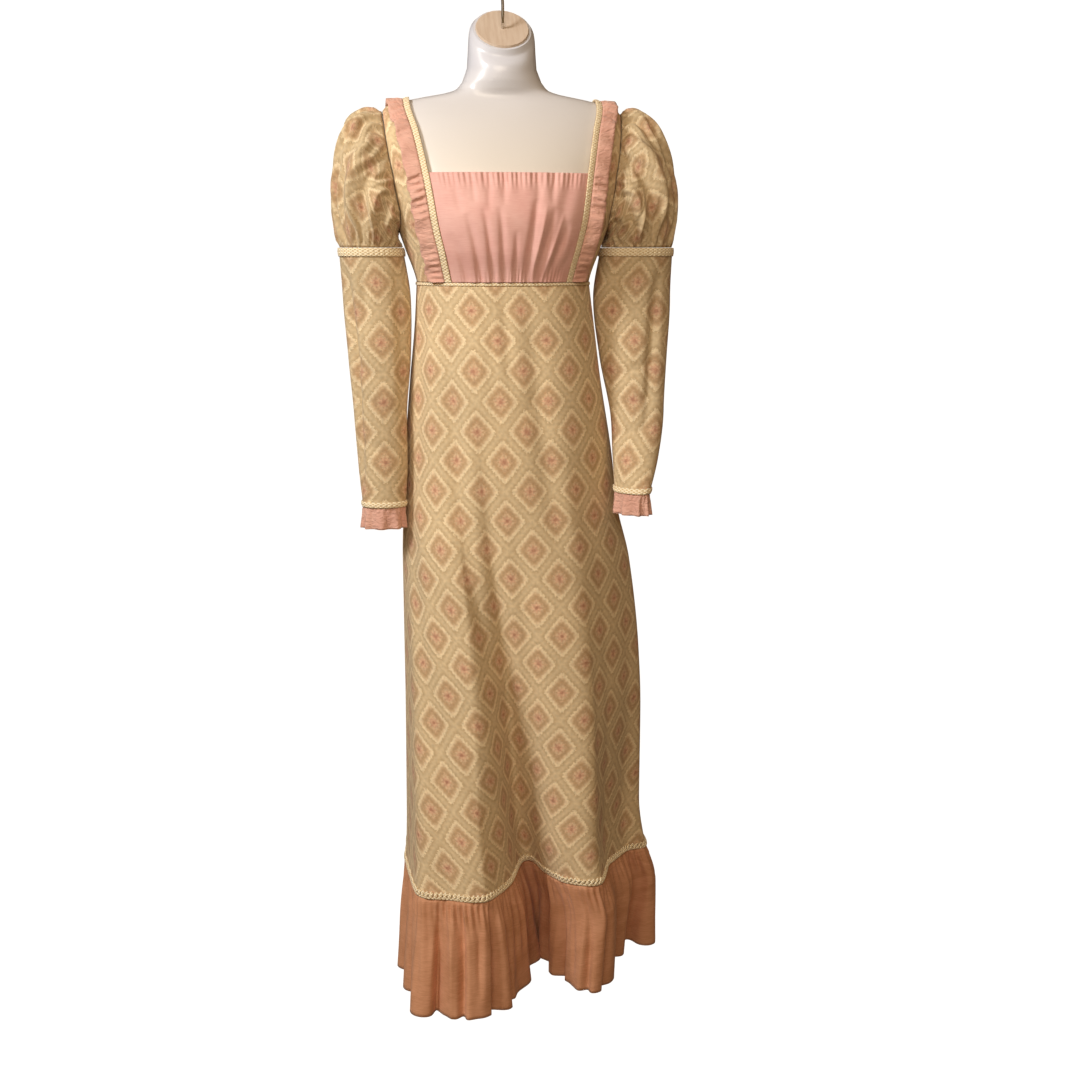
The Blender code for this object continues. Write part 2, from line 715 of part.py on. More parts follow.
def build_laces_on_skirt():
    """Lace above the flounce seam and braid below the waist seam, on the skirt's own points."""
    front = panel_places("skirt_front")
    right, left = panel_places("skirt_back_right"), panel_places("skirt_back_left")
    low, high = slice(0, 2), slice(-2, None)
    on_skirt = CLOTH + SEAM_GAP
    back = np.concatenate([right[low, :-1], (right[low, -1:] + left[low, :1]) / 2, left[low, 1:]], axis=1)
    for name, places in (("flounce_trim_front", front[low]), ("flounce_trim_back", back)):
        cloth(name, lambda out: skirt_point(places, SKIRT_HEIGHTS[low, None], on_skirt + out), CREAM, LACE)
    around = np.concatenate([left[high] - 360, front[high], right[high]], axis=1)
    cloth("waist_trim", lambda out: skirt_point(around, SKIRT_HEIGHTS[high, None], on_skirt + out), CREAM, LACE)


# Sleeves


def armhole_loop(layer, count):
    """The armhole's edge, from the shoulder tip down the front to the underarm and up the back."""
    def x_at(height):
        return armhole_x(height, layer)

    front = up_the_shoulder(x_at, UNDERARM + 0.001, FRONT, layer, 120)
    back = up_the_shoulder(x_at, UNDERARM + 0.001, BACK, layer, 120)
    loop = even(np.concatenate([front[::-1], back[1:], front[-1:]]), count + 1)
    return loop[:-1]


def sleeve_ring(sleeve, height, angle, out):
    """A section of the lower sleeve: angle 0 points outward, 90 forward."""
    turn = np.radians(sleeve("turn_deg", height))
    wide = (sleeve("half_width", height) + out) * np.cos(angle)
    deep = (sleeve("half_depth", height) + out) * np.sin(angle)
    x = sleeve("centre_x", height) + wide * np.cos(turn) - deep * np.sin(turn)
    y = sleeve("centre_y", height) - deep * np.cos(turn) - wide * np.sin(turn)
    return np.stack(np.broadcast_arrays(x, y, height), axis=-1)


def puff_point(sleeve, loop, around, share, reach):
    """A meridian of the puff: a cubic that leaves the armhole outward and enters the band from above."""
    topness = ((1 + np.cos(around)) / 2)[None, :, None]
    forward = np.sin(around)[None, :, None]
    end = sleeve_ring(sleeve, PUFF_END, around, 0.0)[None]
    leave = topness * [reach[0], 0, reach[1]] + forward * [0, -0.100, 0] + [0.014, 0, -0.016]
    arrive = topness * [-0.055, 0, -0.250] + forward * [0, 0.060, 0] + [0, 0, -0.020]
    s = share[:, None, None]
    return (
        (2 * s**3 - 3 * s**2 + 1) * loop[None]
        + (s**3 - 2 * s**2 + s) * leave
        + (3 * s**2 - 2 * s**3) * end
        + (s**3 - s**2) * arrive
    )


def across_surface(points):
    """Unit normals of a round grid of points, from its neighbours."""
    around = np.roll(points, -1, axis=1) - np.roll(points, 1, axis=1)
    along = np.gradient(points, axis=0)
    return unit(np.cross(along, around))


def build_puffs():
    columns = PUFF_WAVES * 4
    around = np.arange(columns) * 2 * pi / columns
    share = np.array([0, 0.13, 0.33, 0.55, 0.78, 1.0])
    for name, side in SIDES.items():
        sleeve = SLEEVES[name]
        loop = armhole_loop(0.0, columns) + [0.0021, 0, 0]
        middle = puff_point(sleeve, loop, around, share, PUFF_LEAVE[name])
        normal = across_surface(middle)
        wave = np.cos(PUFF_WAVES * around + 0.8 * np.sin(2 * around + side))
        deep = (0.75 + 0.25 * np.sin(3 * around + 1)) * (0.35 + 0.65 * (1 + np.cos(around)) / 2)
        swell = np.sin(pi * share)[:, None] ** 0.6

        def surface(out):
            return middle + normal * (PUFF_WAVE * swell * wave * deep + out)[..., None]

        cloth("puff_" + name, surface, PRINT, round_=True, side=side)


def build_lower_sleeves():
    around = np.arange(20) * 2 * pi / 20
    for name, side in SIDES.items():
        sleeve = SLEEVES[name]
        lace_top = WRISTS[name] + WRIST_LACE
        heights = np.array([WRISTS[name], lace_top, 0.85, 0.92, 1.00, 1.09, BAND_BOTTOM, BAND_TOP])

        def rows(chosen, layer):
            return sleeve_ring(sleeve, heights[chosen, None], around[None], layer)

        laces = {"wrist_trim_": slice(0, 2), "sleeve_band_": slice(-2, None)}
        cloth("lower_sleeve_" + name, lambda out: rows(slice(None), out), PRINT, round_=True, side=side)
        for lace, chosen in laces.items():
            on_sleeve = CLOTH + SEAM_GAP + 0.0002
            cloth(lace + name, lambda out: rows(chosen, on_sleeve + out), CREAM, LACE, round_=True, side=side)
        build_cuff(name, side, sleeve, WRISTS[name])


def build_cuff(name, side, sleeve, wrist):
    """The gathered ruffle below the wrist seam."""
    columns = CUFF_WAVES * 4
    around = np.arange(columns) * 2 * pi / columns
    heights = np.array([wrist - CUFF_DEEP, wrist - SEAM_GAP])

    def surface(out):
        down = ((wrist - heights) / CUFF_DEEP)[:, None]
        wave = np.cos(CUFF_WAVES * around + 0.7 * np.sin(2 * around))
        layer = CUFF_FLARE * down + (SEAM_GAP + CUFF_WAVE * down) * wave
        points = sleeve_ring(sleeve, np.full((2, 1), wrist), around[None], layer + out)
        points[..., 2] = heights[:, None]
        return points

    cloth("cuff_ruffle_" + name, surface, PINK, LACE, round_=True, side=side)


# Zip

SLIDER_AT = 1.3225
SLIDER = {"width": 0.0070, "deep": 0.0024, "long": 0.0090}
LUG = {"wide": 0.0010, "inner": 0.0017, "out": 0.0022, "long": 0.0024, "up": 0.0020}
TAB = {"thick": 0.0010, "neck": 0.0014, "half": 0.0025, "long": 0.0200, "over": 0.0006}


def back_place(height):
    """A point of the back's outer face on the centre line, and the face's slope there."""
    rows = LOW_ROWS[BACK]
    y = torso_y(0.0, rows, cloth_out(rows, CLOTH), BACK)
    above = np.searchsorted(rows, height)
    slope = (y[above - 1] - y[above]) / (rows[above] - rows[above - 1])
    return np.interp(height, rows, y), np.arctan(slope)


def slanted(points):
    """Zip sizes (across, off the back, up) turned to the slope of the back at the slider."""
    y, slope = back_place(SLIDER_AT)
    across, off, up = np.asarray(points, float).T
    depth = y + off * np.cos(slope) - up * np.sin(slope)
    return np.stack([across, depth, SLIDER_AT + up * np.cos(slope) + off * np.sin(slope)], axis=1)


def prism(name, outline, low, high, finish):
    """A closed block: an outline of (across, up) from `low` to `high` off the back."""
    count = len(outline)
    points = [(x, low, z) for x, z in outline] + [(x, high, z) for x, z in outline]
    faces = [tuple(range(count)), tuple(reversed(range(count, 2 * count)))]
    faces += [(i, (i + 1) % count, count + (i + 1) % count, count + i) for i in range(count)]
    return add_object(name, slanted(points), faces, finish, smooth=False)


def rectangle(x0, x1, z0, z1):
    return [(x0, z0), (x1, z0), (x1, z1), (x0, z1)]


def build_zip():
    above = LOW_ROWS[BACK]
    below = SKIRT_HEIGHTS[SKIRT_HEIGHTS >= ZIP_BOTTOM]
    across = np.linspace(-TAPE_HALF, TAPE_HALF, 3)

    def surface(out):
        layer = out - TAPE_BEHIND
        high = torso_point(across, above[:, None], cloth_out(above[:, None], layer), BACK)
        y = SKIRT("back", below)[:, None] + layer + 0 * across
        low = np.stack(np.broadcast_arrays(across, y, below[:, None]), axis=-1)
        return np.concatenate([low, high])

    cloth("zip_tape", surface, TAPE, TAPE_THICK)
    build_slider()


def build_slider():
    """Slider above the zip's top, with two lugs that hold the tab between them."""
    half, deep, long_ = SLIDER["width"] / 2, SLIDER["deep"], SLIDER["long"] / 2
    base = [(-half, -long_ * 0.6), (-half * 0.6, -long_), (half * 0.6, -long_), (half, -long_ * 0.6)]
    base += [(half, long_), (-half, long_)]
    slider = prism("zip_slider", base, SEAM_GAP, SEAM_GAP + deep, STEEL)
    low, high = LUG["up"] - LUG["long"] / 2, LUG["up"] + LUG["long"] / 2
    for side in (-1, 1):
        inner, outer = sorted((side * LUG["inner"], side * (LUG["inner"] + LUG["wide"])))
        top = SEAM_GAP + deep + LUG["out"]
        lug = prism("lug_%d" % side, rectangle(inner, outer, low, high), SEAM_GAP + deep / 2, top, STEEL)
        lug.hide_render = True
        lug.display_type = "WIRE"
        join = slider.modifiers.new("lug", "BOOLEAN")
        join.operation = "UNION"
        join.object = lug
    neck, wide, end = TAB["neck"], TAB["half"], TAB["long"]
    axis_up, over = LUG["up"], TAB["over"]
    outline = [(-neck, axis_up + over), (-neck, axis_up - 0.0035), (-wide, axis_up - 0.0065)]
    outline += [(-wide, axis_up - end + 0.002), (-wide + 0.0015, axis_up - end)]
    outline += [(-x, z) for x, z in reversed(outline)]
    centre = SEAM_GAP + deep + LUG["out"] / 2
    prism("zip_pull_tab", outline, centre - TAB["thick"] / 2, centre + TAB["thick"] / 2, STEEL)
    axis = slanted([(0, centre, axis_up)])[0] - np.array([0, 0, HOOK_SEAT])
    print("pull tab axis", [round(float(v), 6) for v in axis])


def main():
    for obj in list(bpy.data.objects):
        bpy.data.objects.remove(obj)
    build_form()
    build_cap_and_hook()
    build_bodice_front()
    build_side_fronts()
    build_backs()
    build_neck_trims()
    build_ruffles()
    build_skirt()
    build_flounce()
    build_laces_on_skirt()
    build_puffs()
    build_lower_sleeves()
    build_zip()


main()
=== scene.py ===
# %% [markdown]
# # A prairie dress on a hanging form
# This dress is sewn from two cottons: one printed with a lattice of diamonds, one plain pink. Cream
# lace and braid cover the joins. It hangs on a moulded torso form by a wire hook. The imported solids
# already fix where every piece is and how big it is. This lesson lays a finer sheet over each of
# them, gives it its gathers and creases, and then its cloth.

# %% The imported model
import json
from math import pi, radians

import bpy
import numpy as np
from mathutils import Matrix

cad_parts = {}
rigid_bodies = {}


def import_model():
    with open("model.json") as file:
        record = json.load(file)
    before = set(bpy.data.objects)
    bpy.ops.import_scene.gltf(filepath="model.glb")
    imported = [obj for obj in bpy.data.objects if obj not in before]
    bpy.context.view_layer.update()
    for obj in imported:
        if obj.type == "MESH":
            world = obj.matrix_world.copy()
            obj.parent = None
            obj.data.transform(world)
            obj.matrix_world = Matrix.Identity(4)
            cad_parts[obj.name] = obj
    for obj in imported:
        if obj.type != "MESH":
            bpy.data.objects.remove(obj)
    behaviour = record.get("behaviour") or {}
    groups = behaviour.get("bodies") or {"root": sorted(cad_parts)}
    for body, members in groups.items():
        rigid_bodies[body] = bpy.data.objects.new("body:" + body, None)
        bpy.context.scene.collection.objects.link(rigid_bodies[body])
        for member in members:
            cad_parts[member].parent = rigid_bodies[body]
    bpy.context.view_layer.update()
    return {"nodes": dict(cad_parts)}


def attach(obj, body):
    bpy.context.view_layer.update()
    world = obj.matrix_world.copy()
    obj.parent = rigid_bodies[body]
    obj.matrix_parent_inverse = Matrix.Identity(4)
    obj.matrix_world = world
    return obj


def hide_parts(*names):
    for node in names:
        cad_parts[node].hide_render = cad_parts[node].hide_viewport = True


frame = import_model()

# %% [markdown]
# ## Sizes shared by every piece
# Heights are counted up from the hem, as a dressmaker hangs and levels a dress, and the frame's
# origin is the seat of the hook. The shapes come from short tables of sizes, with a smooth curve
# between the rows, so a change of one size moves the whole outline gently.

# %% Sizes
HOOK_SEAT = 1.617
WAIST_SEAM = 1.115
NECKLINE = 1.274
BACK_NECKLINE = 1.335
UNDERARM = 1.190
SHOULDER_TIP = 1.360
FLOUNCE_SEAM = 0.180
CLOTH, LACE = 0.0016, 0.0012
SEAM_GAP = 0.0003
ON_PANEL = CLOTH + SEAM_GAP + 0.0003
SIDES = {"left": -1, "right": 1}
FRONT, BACK = -1, 1


def hermite(s, start, end, leave, arrive):
    """The cubic from start to end that leaves and arrives with these slopes, for s from 0 to 1."""
    ends = (2 * s**3 - 3 * s**2 + 1) * start + (3 * s**2 - 2 * s**3) * end
    return ends + (s**3 - 2 * s**2 + s) * leave + (s**3 - s**2) * arrive


def smooth_at(knots, values, at):
    """Cubic between knots; each knot's slope is the harmonic mean of its neighbours' slopes."""
    step = np.diff(knots)
    slope = np.diff(values) / step
    product = slope[:-1] * slope[1:]
    total = np.where(product > 0, slope[:-1] + slope[1:], 1.0)
    inner = np.where(product > 0, 2 * product / total, 0.0)
    tangent = np.concatenate([slope[:1], inner, slope[-1:]])
    at = np.asarray(at, float)
    i = np.clip(np.searchsorted(knots, at) - 1, 0, len(step) - 1)
    s = np.clip((at - knots[i]) / step[i], 0, 1)
    return hermite(s, values[i], values[i + 1], step[i] * tangent[i], step[i] * tangent[i + 1])


def table(columns, rows):
    """A reader of one named column of sizes at any height, from rows that start with the height."""
    names, rows = columns.split(), np.array(rows, float)
    return lambda name, at: smooth_at(rows[:, 0], rows[:, names.index(name)], at)


def fade(value, start, end):
    """0 up to start, 1 past end, and 3s^2 - 2s^3 between."""
    s = np.clip((value - start) / (end - start), 0, 1)
    return s * s * (3 - 2 * s)


def unit(vectors):
    """Each vector divided by its own length."""
    return vectors / np.linalg.norm(vectors, axis=-1, keepdims=True)


def turns(count):
    """Even angles all the way round."""
    return np.arange(count) * 2 * pi / count


def on_grid(*parts):
    """Coordinates of a grid, each given by row, by column or whole, as one array of points."""
    return np.stack(np.broadcast_arrays(*parts), axis=-1)


# %% [markdown]
# Gathered cloth falls into folds like cosines along the seam. Real ones are never even, so their
# spacing sways a little and some are deeper than others.

# %% Folds made by gathering
def near(value, middle, width):
    """exp(-((value - middle) / width)^2): 1 at the middle, and nothing a few widths away."""
    return np.exp(-(((value - middle) / width) ** 2))


def waves(at, rate, sway=0.0, sway_rate=0.0, phase=0.0):
    """cos(rate * at + sway * sin(sway_rate * at) + phase)."""
    return np.cos(rate * at + sway * np.sin(sway_rate * at) + phase)


def uneven(at, amount, rate, phase=0.0):
    """1 - amount + amount * sin(rate * at + phase), which scales the folds' depth."""
    return 1 - amount + amount * np.sin(rate * at + phase)


# %% [markdown]
# ## Cloth as a thin wall
# Real cotton is about a third of a millimetre thick, but a hem is folded and reads as more. Every
# piece here is a closed wall: an inner grid of points, the same grid moved out, and a rim round
# every free edge. A Solidify modifier could do this too. Working both grids out from one formula
# keeps lace exactly parallel to the cloth that it is sewn on. Each point also keeps its place in
# the flat cut, in metres, as a UV map, so that print and weave follow the cloth into its folds.

# %% The wall and its flat cut
def run_along(points, axis, start=None):
    """Length along the grid's rows or columns, summed from step to step, with 0 at `start`."""
    step = np.linalg.norm(np.diff(points, axis=axis), axis=-1)
    pad = [(0, 0), (0, 0)]
    pad[axis] = (1, 0)
    run = np.cumsum(np.pad(step, pad), axis=axis)
    if start is not None:
        run = run - np.take(run, [start], axis=axis)
    return run


def quad_cells(rows, columns, closed=False):
    """Row, column and corner numbers of a grid's quads; a closed grid's last column meets its first."""
    across = np.arange(columns if closed else columns - 1)
    r, c = np.meshgrid(np.arange(rows - 1), across, indexing="ij")
    d = (c + 1) % columns
    low, high = r * columns, (r + 1) * columns
    return r, c, np.stack([low + c, low + d, high + d, high + c], axis=-1)


def new_piece(name, points, faces, smooth=True):
    """An object with a mesh of these points and faces, in the scene."""
    mesh = bpy.data.meshes.new(name)
    mesh.from_pydata(points.tolist(), [], faces)
    if smooth:
        mesh.shade_smooth()
    piece = bpy.data.objects.new(name, mesh)
    bpy.context.scene.collection.objects.link(piece)
    return piece


def wall(name, inner, outer, cut, closed=False, keep=None, side=1):
    """A closed wall from two grids: quads of each grid, the inner ones reversed, and rim quads."""
    r, c, quads = quad_cells(*inner.shape[:2], closed)
    if keep is not None:
        r, c, quads = r[keep], c[keep], quads[keep]
    r, c, quads = r.ravel(), c.ravel(), quads.reshape(-1, 4)
    places = np.stack([cut[r, c], cut[r, c + 1], cut[r + 1, c + 1], cut[r + 1, c]], axis=1)
    count = inner.shape[0] * inner.shape[1]
    edges = np.stack([quads, np.roll(quads, -1, axis=1)], axis=-1).reshape(-1, 2)
    free = ~np.isin(edges[:, 0] * count + edges[:, 1], edges[:, 1] * count + edges[:, 0])
    a, b = edges[free].T
    rim = np.stack([b, a, a + count, b + count], axis=1)
    edge_places = np.stack([places, np.roll(places, -1, axis=1)], axis=2).reshape(-1, 2, 2)[free]
    rim_cut = edge_places[:, [1, 0, 0, 1]]
    faces = np.concatenate([quads, quads[:, ::-1] + count, rim])
    uv = np.concatenate([places, places[:, ::-1], rim_cut])
    points = np.concatenate([inner.reshape(-1, 3), outer.reshape(-1, 3)])
    points = points * [side, 1, 1] - [0, 0, HOOK_SEAT]
    p, q, s, t = (points[faces[:, i]] for i in range(4))
    volume = (p * np.cross(q, s)).sum() + (p * np.cross(s, t)).sum()
    if volume < 0:
        faces, uv = faces[:, ::-1], uv[:, ::-1]
    used, place = np.unique(faces, return_inverse=True)
    piece = new_piece(name, points[used], place.reshape(-1, 4).tolist())
    piece.data.uv_layers.new(name="cut").data.foreach_set("uv", uv.reshape(-1).astype(np.float32))
    return piece


def flat_size(points, closed=False):
    """Longest row, longest column and area of a grid, its quads taken as two triangles each."""
    if closed:
        points = np.concatenate([points, points[:, :1]], axis=1)
    a, b, c, d = points[:-1, :-1], points[:-1, 1:], points[1:, 1:], points[1:, :-1]
    double_area = np.linalg.norm([np.cross(b - a, c - a), np.cross(c - a, d - a)], axis=-1).sum()
    width, length = run_along(points, 1)[:, -1].max(), run_along(points, 0)[-1].max()
    return float(width), float(length), float(double_area / 2)


sewn = []


def sew(
    name, surface, cut, held, rests_on, thickness=CLOTH, closed=False, keep=None, side=1
):
    """Makes a cloth piece from surface(out), lets it stand for its solid and notes its flat size."""
    inner, outer = surface(0.0), surface(thickness)
    piece = wall("cloth_" + name, inner, outer, cut, closed, keep, side)
    width, length, area = flat_size((inner + outer) / 2, closed)
    if keep is not None:
        area = sum(face.area for face in piece.data.polygons) / 2
    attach(piece, "dress")
    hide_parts(name)
    sewn.append((piece, (round(width, 4), round(length, 4)), held, rests_on, round(area, 5)))


# %% [markdown]
# Cloth never hangs quite evenly. Soft creases are listed one by one: each is a trough between two
# places of the flat cut, deepest in its middle line, and it fades out at both ends. A row gives
# across and height where it starts, the same where it ends, its width and its depth. A negative
# depth makes a ridge.

# %% Creases given one by one
def creases(cut, rows):
    """Sum of -depth * exp(-(distance / width)^2) * (4t(1 - t))^0.7, with t from 0 to 1 on the line."""
    moved = np.zeros(cut.shape[:2])
    for u0, v0, u1, v1, width, depth in rows:
        line = np.array([u1 - u0, v1 - v0])
        length = np.hypot(*line)
        along = ((cut - [u0, v0]) @ line) / length**2
        across = ((cut - [u0, v0]) @ [-line[1], line[0]]) / length
        bend = across - 0.12 * width * np.sin(7 * along)
        ends = (4 * np.clip(along * (1 - along), 0, 0.25)) ** 0.7
        moved -= depth * near(bend, 0, width) * ends
    return moved


# %% [markdown]
# ## The torso
# The form is a hollow plastic moulding. Its sections are superellipses: between a circle and a
# rounded box, which suits a rib cage. The bodice is worked out from the same sections, moved out
# by the ease that a dress is given so that it can be worn.

# %% Sections of the torso
TORSO = table(
    "height half_width front back squareness ease",
    [
        (0.700, 0.118, 0.072, 0.080, 2.2, 0.005),
        (0.735, 0.136, 0.090, 0.098, 2.2, 0.005),
        (0.800, 0.144, 0.097, 0.110, 2.3, 0.005),
        (0.900, 0.136, 0.092, 0.108, 2.3, 0.005),
        (1.000, 0.121, 0.086, 0.090, 2.3, 0.005),
        (1.060, 0.119, 0.088, 0.084, 2.3, 0.005),
        (1.115, 0.126, 0.096, 0.085, 2.3, 0.005),
        (1.165, 0.143, 0.113, 0.090, 2.3, 0.005),
        (1.205, 0.157, 0.117, 0.095, 2.3, 0.005),
        (1.250, 0.170, 0.108, 0.099, 2.3, 0.005),
        (1.274, 0.175, 0.100, 0.099, 2.3, 0.004),
        (1.300, 0.180, 0.089, 0.097, 2.3, 0.004),
        (1.335, 0.184, 0.071, 0.088, 2.2, 0.0030),
        (1.355, 0.183, 0.058, 0.076, 2.1, 0.0018),
        (1.368, 0.176, 0.048, 0.064, 2.0, 0.0014),
        (1.376, 0.161, 0.042, 0.056, 2.0, 0.0014),
        (1.383, 0.140, 0.038, 0.051, 2.0, 0.0014),
        (1.389, 0.110, 0.037, 0.049, 2.0, 0.0014),
        (1.393, 0.088, 0.038, 0.049, 2.0, 0.0014),
        (1.399, 0.070, 0.041, 0.049, 2.0, 0.0014),
        (1.410, 0.060, 0.045, 0.050, 2.0, 0.0014),
    ],
)
PRINCESS = table(
    "height front back",
    [
        (1.115, 0.086, 0.080),
        (1.150, 0.094, 0.088),
        (1.200, 0.106, 0.100),
        (1.250, 0.114, 0.112),
        (1.274, 0.118, 0.116),
        (1.335, 0.130, 0.128),
        (1.380, 0.1405, 0.1405),
        (1.410, 0.1405, 0.1405),
    ],
)
ARMHOLE = table(
    "height share",
    [
        (1.190, 1.000),
        (1.203, 0.965),
        (1.225, 0.940),
        (1.270, 0.930),
        (1.310, 0.935),
        (1.340, 0.955),
        (1.360, 0.980),
    ],
)


def half_width(height, out):
    """Half width of the section moved out. On the flat of the shoulders the move goes up instead."""
    lift = fade(height, 1.30, 1.37)
    read = height - out * lift
    return TORSO("half_width", read) + out * (1 - 0.7 * lift), read


def torso_point(x, height, out, face):
    """y = depth * (1 - (x / width)^n)^(1/n): a superellipse through the section's width and depth."""
    x, height, out = np.broadcast_arrays(x, height, out)
    width, read = half_width(height, out)
    depth = TORSO("front" if face == FRONT else "back", read) + out
    power = TORSO("squareness", read)
    y = face * depth * (1 - np.clip(np.abs(x) / width, 0, 1) ** power) ** (1 / power)
    return np.stack([x, y, height], axis=-1)


def cloth_out(height, layer):
    """How far cloth lies from the form: the ease at that height plus the layer's own distance."""
    return TORSO("ease", height) + layer


def armhole_x(height, layer):
    """The armhole's edge: a share of the half width, unchanged above the tip of the shoulder."""
    read = np.minimum(height, SHOULDER_TIP)
    return ARMHOLE("share", read) * half_width(read, cloth_out(read, layer))[0]


def princess_x(height, face):
    """The princess seam, read from its table."""
    return PRINCESS("front" if face == FRONT else "back", height)


# %% [markdown]
# The form's solid has few faces. Its shape is right, so this finer skin reads the same sections
# more often and leans its last rings forward into the slanted neck.

# %% The form's skin
NECK = table(
    "step height centre_y radius_x radius_y lean_deg",
    [
        (0, 1.430, 0.001, 0.0525, 0.0480, 10),
        (1, 1.452, 0.001, 0.0510, 0.0500, 24),
        (2, 1.470, 0.000, 0.0500, 0.0510, 38),
        (3, 1.480, -0.001, 0.0485, 0.0510, 44),
        (4, 1.4855, -0.0065, 0.0435, 0.0460, 45),
    ],
)


def form_rings(angle):
    """Superellipse rings up to the neck, then ellipses leaned forward by their own angle."""
    heights = np.concatenate([np.linspace(0.700, 1.330, 60), np.linspace(1.335, 1.410, 40)])[:, None]
    power = TORSO("squareness", heights)
    depth = np.where(np.sin(angle) < 0, TORSO("front", heights), TORSO("back", heights))
    x = TORSO("half_width", heights) * np.sign(np.cos(angle)) * np.abs(np.cos(angle)) ** (2 / power)
    y = depth * np.sign(np.sin(angle)) * np.abs(np.sin(angle)) ** (2 / power)
    body = on_grid(x, y, heights)
    steps = np.linspace(0, 4, 17)[:, None]
    lean = np.radians(NECK("lean_deg", steps))
    flat = NECK("radius_y", steps) * np.sin(angle)
    neck_x = NECK("radius_x", steps) * np.cos(angle)
    neck_y = NECK("centre_y", steps) + flat * np.cos(lean)
    neck = np.stack([neck_x, neck_y, NECK("height", steps) + flat * np.sin(lean)], axis=-1)
    between = (body[-1:] * 2 + neck[:1]) / 3, (body[-1:] + neck[:1] * 2) / 3
    foot = np.linspace(0.0, 1.0, 6)[:, None, None]
    base = body[:1] * np.concatenate([0.8 + 0.2 * foot, 0.8 + 0.2 * foot, 1 + 0 * foot], axis=-1)
    base[..., 2] -= 0.008 * (1 - foot[..., 0]) ** 2
    return np.concatenate([base[:-1], body, *between, neck])


rings = form_rings(turns(120))
print("form rings:", rings.shape)


def capped(name, rings):
    """A closed skin through rings, with one centre point over each end."""
    count, around = rings.shape[:2]
    quads = quad_cells(count, around, closed=True)[2]
    c = np.arange(around)
    d, end = (c + 1) % around, (count - 1) * around
    low = np.stack([d, c, np.full(around, count * around)], axis=-1)
    high = np.stack([end + c, end + d, np.full(around, count * around + 1)], axis=-1)
    points = np.concatenate([rings.reshape(-1, 3), [rings[0].mean(0)], [rings[-1].mean(0)]])
    faces = quads.reshape(-1, 4).tolist() + low.tolist() + high.tolist()
    piece = new_piece(name, points - [0, 0, HOOK_SEAT], faces)
    piece.data.set_sharp_from_angle(angle=radians(50))
    return piece


form = capped("form_skin", rings)
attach(form, "dress")
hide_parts("torso_form")

# %% [markdown]
# ## The pink centre front
# The panel is cut wider than its place and drawn up: many small gathers under the neckline, and
# fuller folds that spread upward from the waist seam. Its middle stands off the body.

# %% Bodice front
BODICE_CREASES = [
    (-0.010, 1.112, -0.018, 1.225, 0.0050, 0.0036),
    (0.004, 1.112, 0.006, 1.190, 0.0040, 0.0026),
    (-0.024, 1.112, -0.042, 1.225, 0.0048, 0.0036),
    (-0.040, 1.112, -0.066, 1.215, 0.0055, 0.0036),
    (-0.058, 1.114, -0.090, 1.185, 0.0060, 0.0030),
    (0.020, 1.112, 0.036, 1.235, 0.0060, 0.0048),
    (0.036, 1.112, 0.064, 1.225, 0.0060, 0.0048),
    (0.052, 1.112, 0.086, 1.205, 0.0060, 0.0044),
    (0.068, 1.114, 0.100, 1.180, 0.0065, 0.0036),
    (0.028, 1.112, 0.052, 1.230, 0.0035, -0.0020),
    (0.044, 1.112, 0.078, 1.215, 0.0035, -0.0022),
    (0.088, 1.280, 0.066, 1.150, 0.0110, 0.0036),
    (0.044, 1.280, 0.036, 1.200, 0.0060, 0.0026),
    (0.066, 1.280, 0.060, 1.225, 0.0050, 0.0022),
    (-0.006, 1.280, -0.012, 1.225, 0.0050, 0.0020),
    (-0.030, 1.280, -0.034, 1.215, 0.0050, 0.0020),
    (-0.056, 1.280, -0.054, 1.228, 0.0045, 0.0018),
    (-0.086, 1.276, -0.074, 1.215, 0.0055, 0.0022),
]
across = np.linspace(-1, 1, 211)[None]
height = np.linspace(WAIST_SEAM + SEAM_GAP, NECKLINE, 91)[:, None]
edge = princess_x(height, FRONT) - SEAM_GAP
cut = on_grid(across * edge, height)
NECK_ZONE, SMALL_ZONE, WAIST_ZONE, PINCH_ZONE = 0.045, 0.028, 0.070, 0.028
STANDS_OFF, GATHERS, SMALL_GATHERS, TUCKS, PINCHES = 0.006, 0.0014, 0.0010, 0.0012, 0.0008
side_fade = 1 - np.abs(across) ** 6
low = 1 - fade(height, WAIST_SEAM, WAIST_SEAM + WAIST_ZONE)
near_waist = 1 - fade(height, WAIST_SEAM, WAIST_SEAM + PINCH_ZONE)
up_panel_share = np.clip((height - WAIST_SEAM) / (NECKLINE - WAIST_SEAM), 0, 1)
full = STANDS_OFF * np.sin(pi * up_panel_share) ** 1.5
gathers = GATHERS * fade(height, NECKLINE - NECK_ZONE, NECKLINE) * waves(across, pi * 9, 0.6, 5)
at_neck = fade(height, NECKLINE - SMALL_ZONE, NECKLINE - 0.004)
small = SMALL_GATHERS * at_neck * waves(across, pi * 31, 2, 7)
tucks = TUCKS * low * waves(across, pi * 9, 1.1, 3)
pinches = PINCHES * near_waist * waves(across, pi * 31, 3, 7) * uneven(across, 0.4, 11)
hand_made = creases(cut, BODICE_CREASES)
bodice_layer = side_fade * (full + gathers + small + tucks + pinches + 0.0026 * low + 0.001 + hand_made)
sew(
    "bodice_front",
    lambda out: torso_point(across * edge, height, cloth_out(height, bodice_layer + out), FRONT),
    cut,
    "gathered",
    ["torso_form"],
)

# %% [markdown]
# ## Side panels, straps and backs
# A side panel runs from the princess seam to the side seam, and above the underarm to the armhole.
# It goes on over the shoulder as half of the strap, front and back meeting on the shoulder line.
# Columns are read up the panel, and each ends where its own line meets the shoulder.

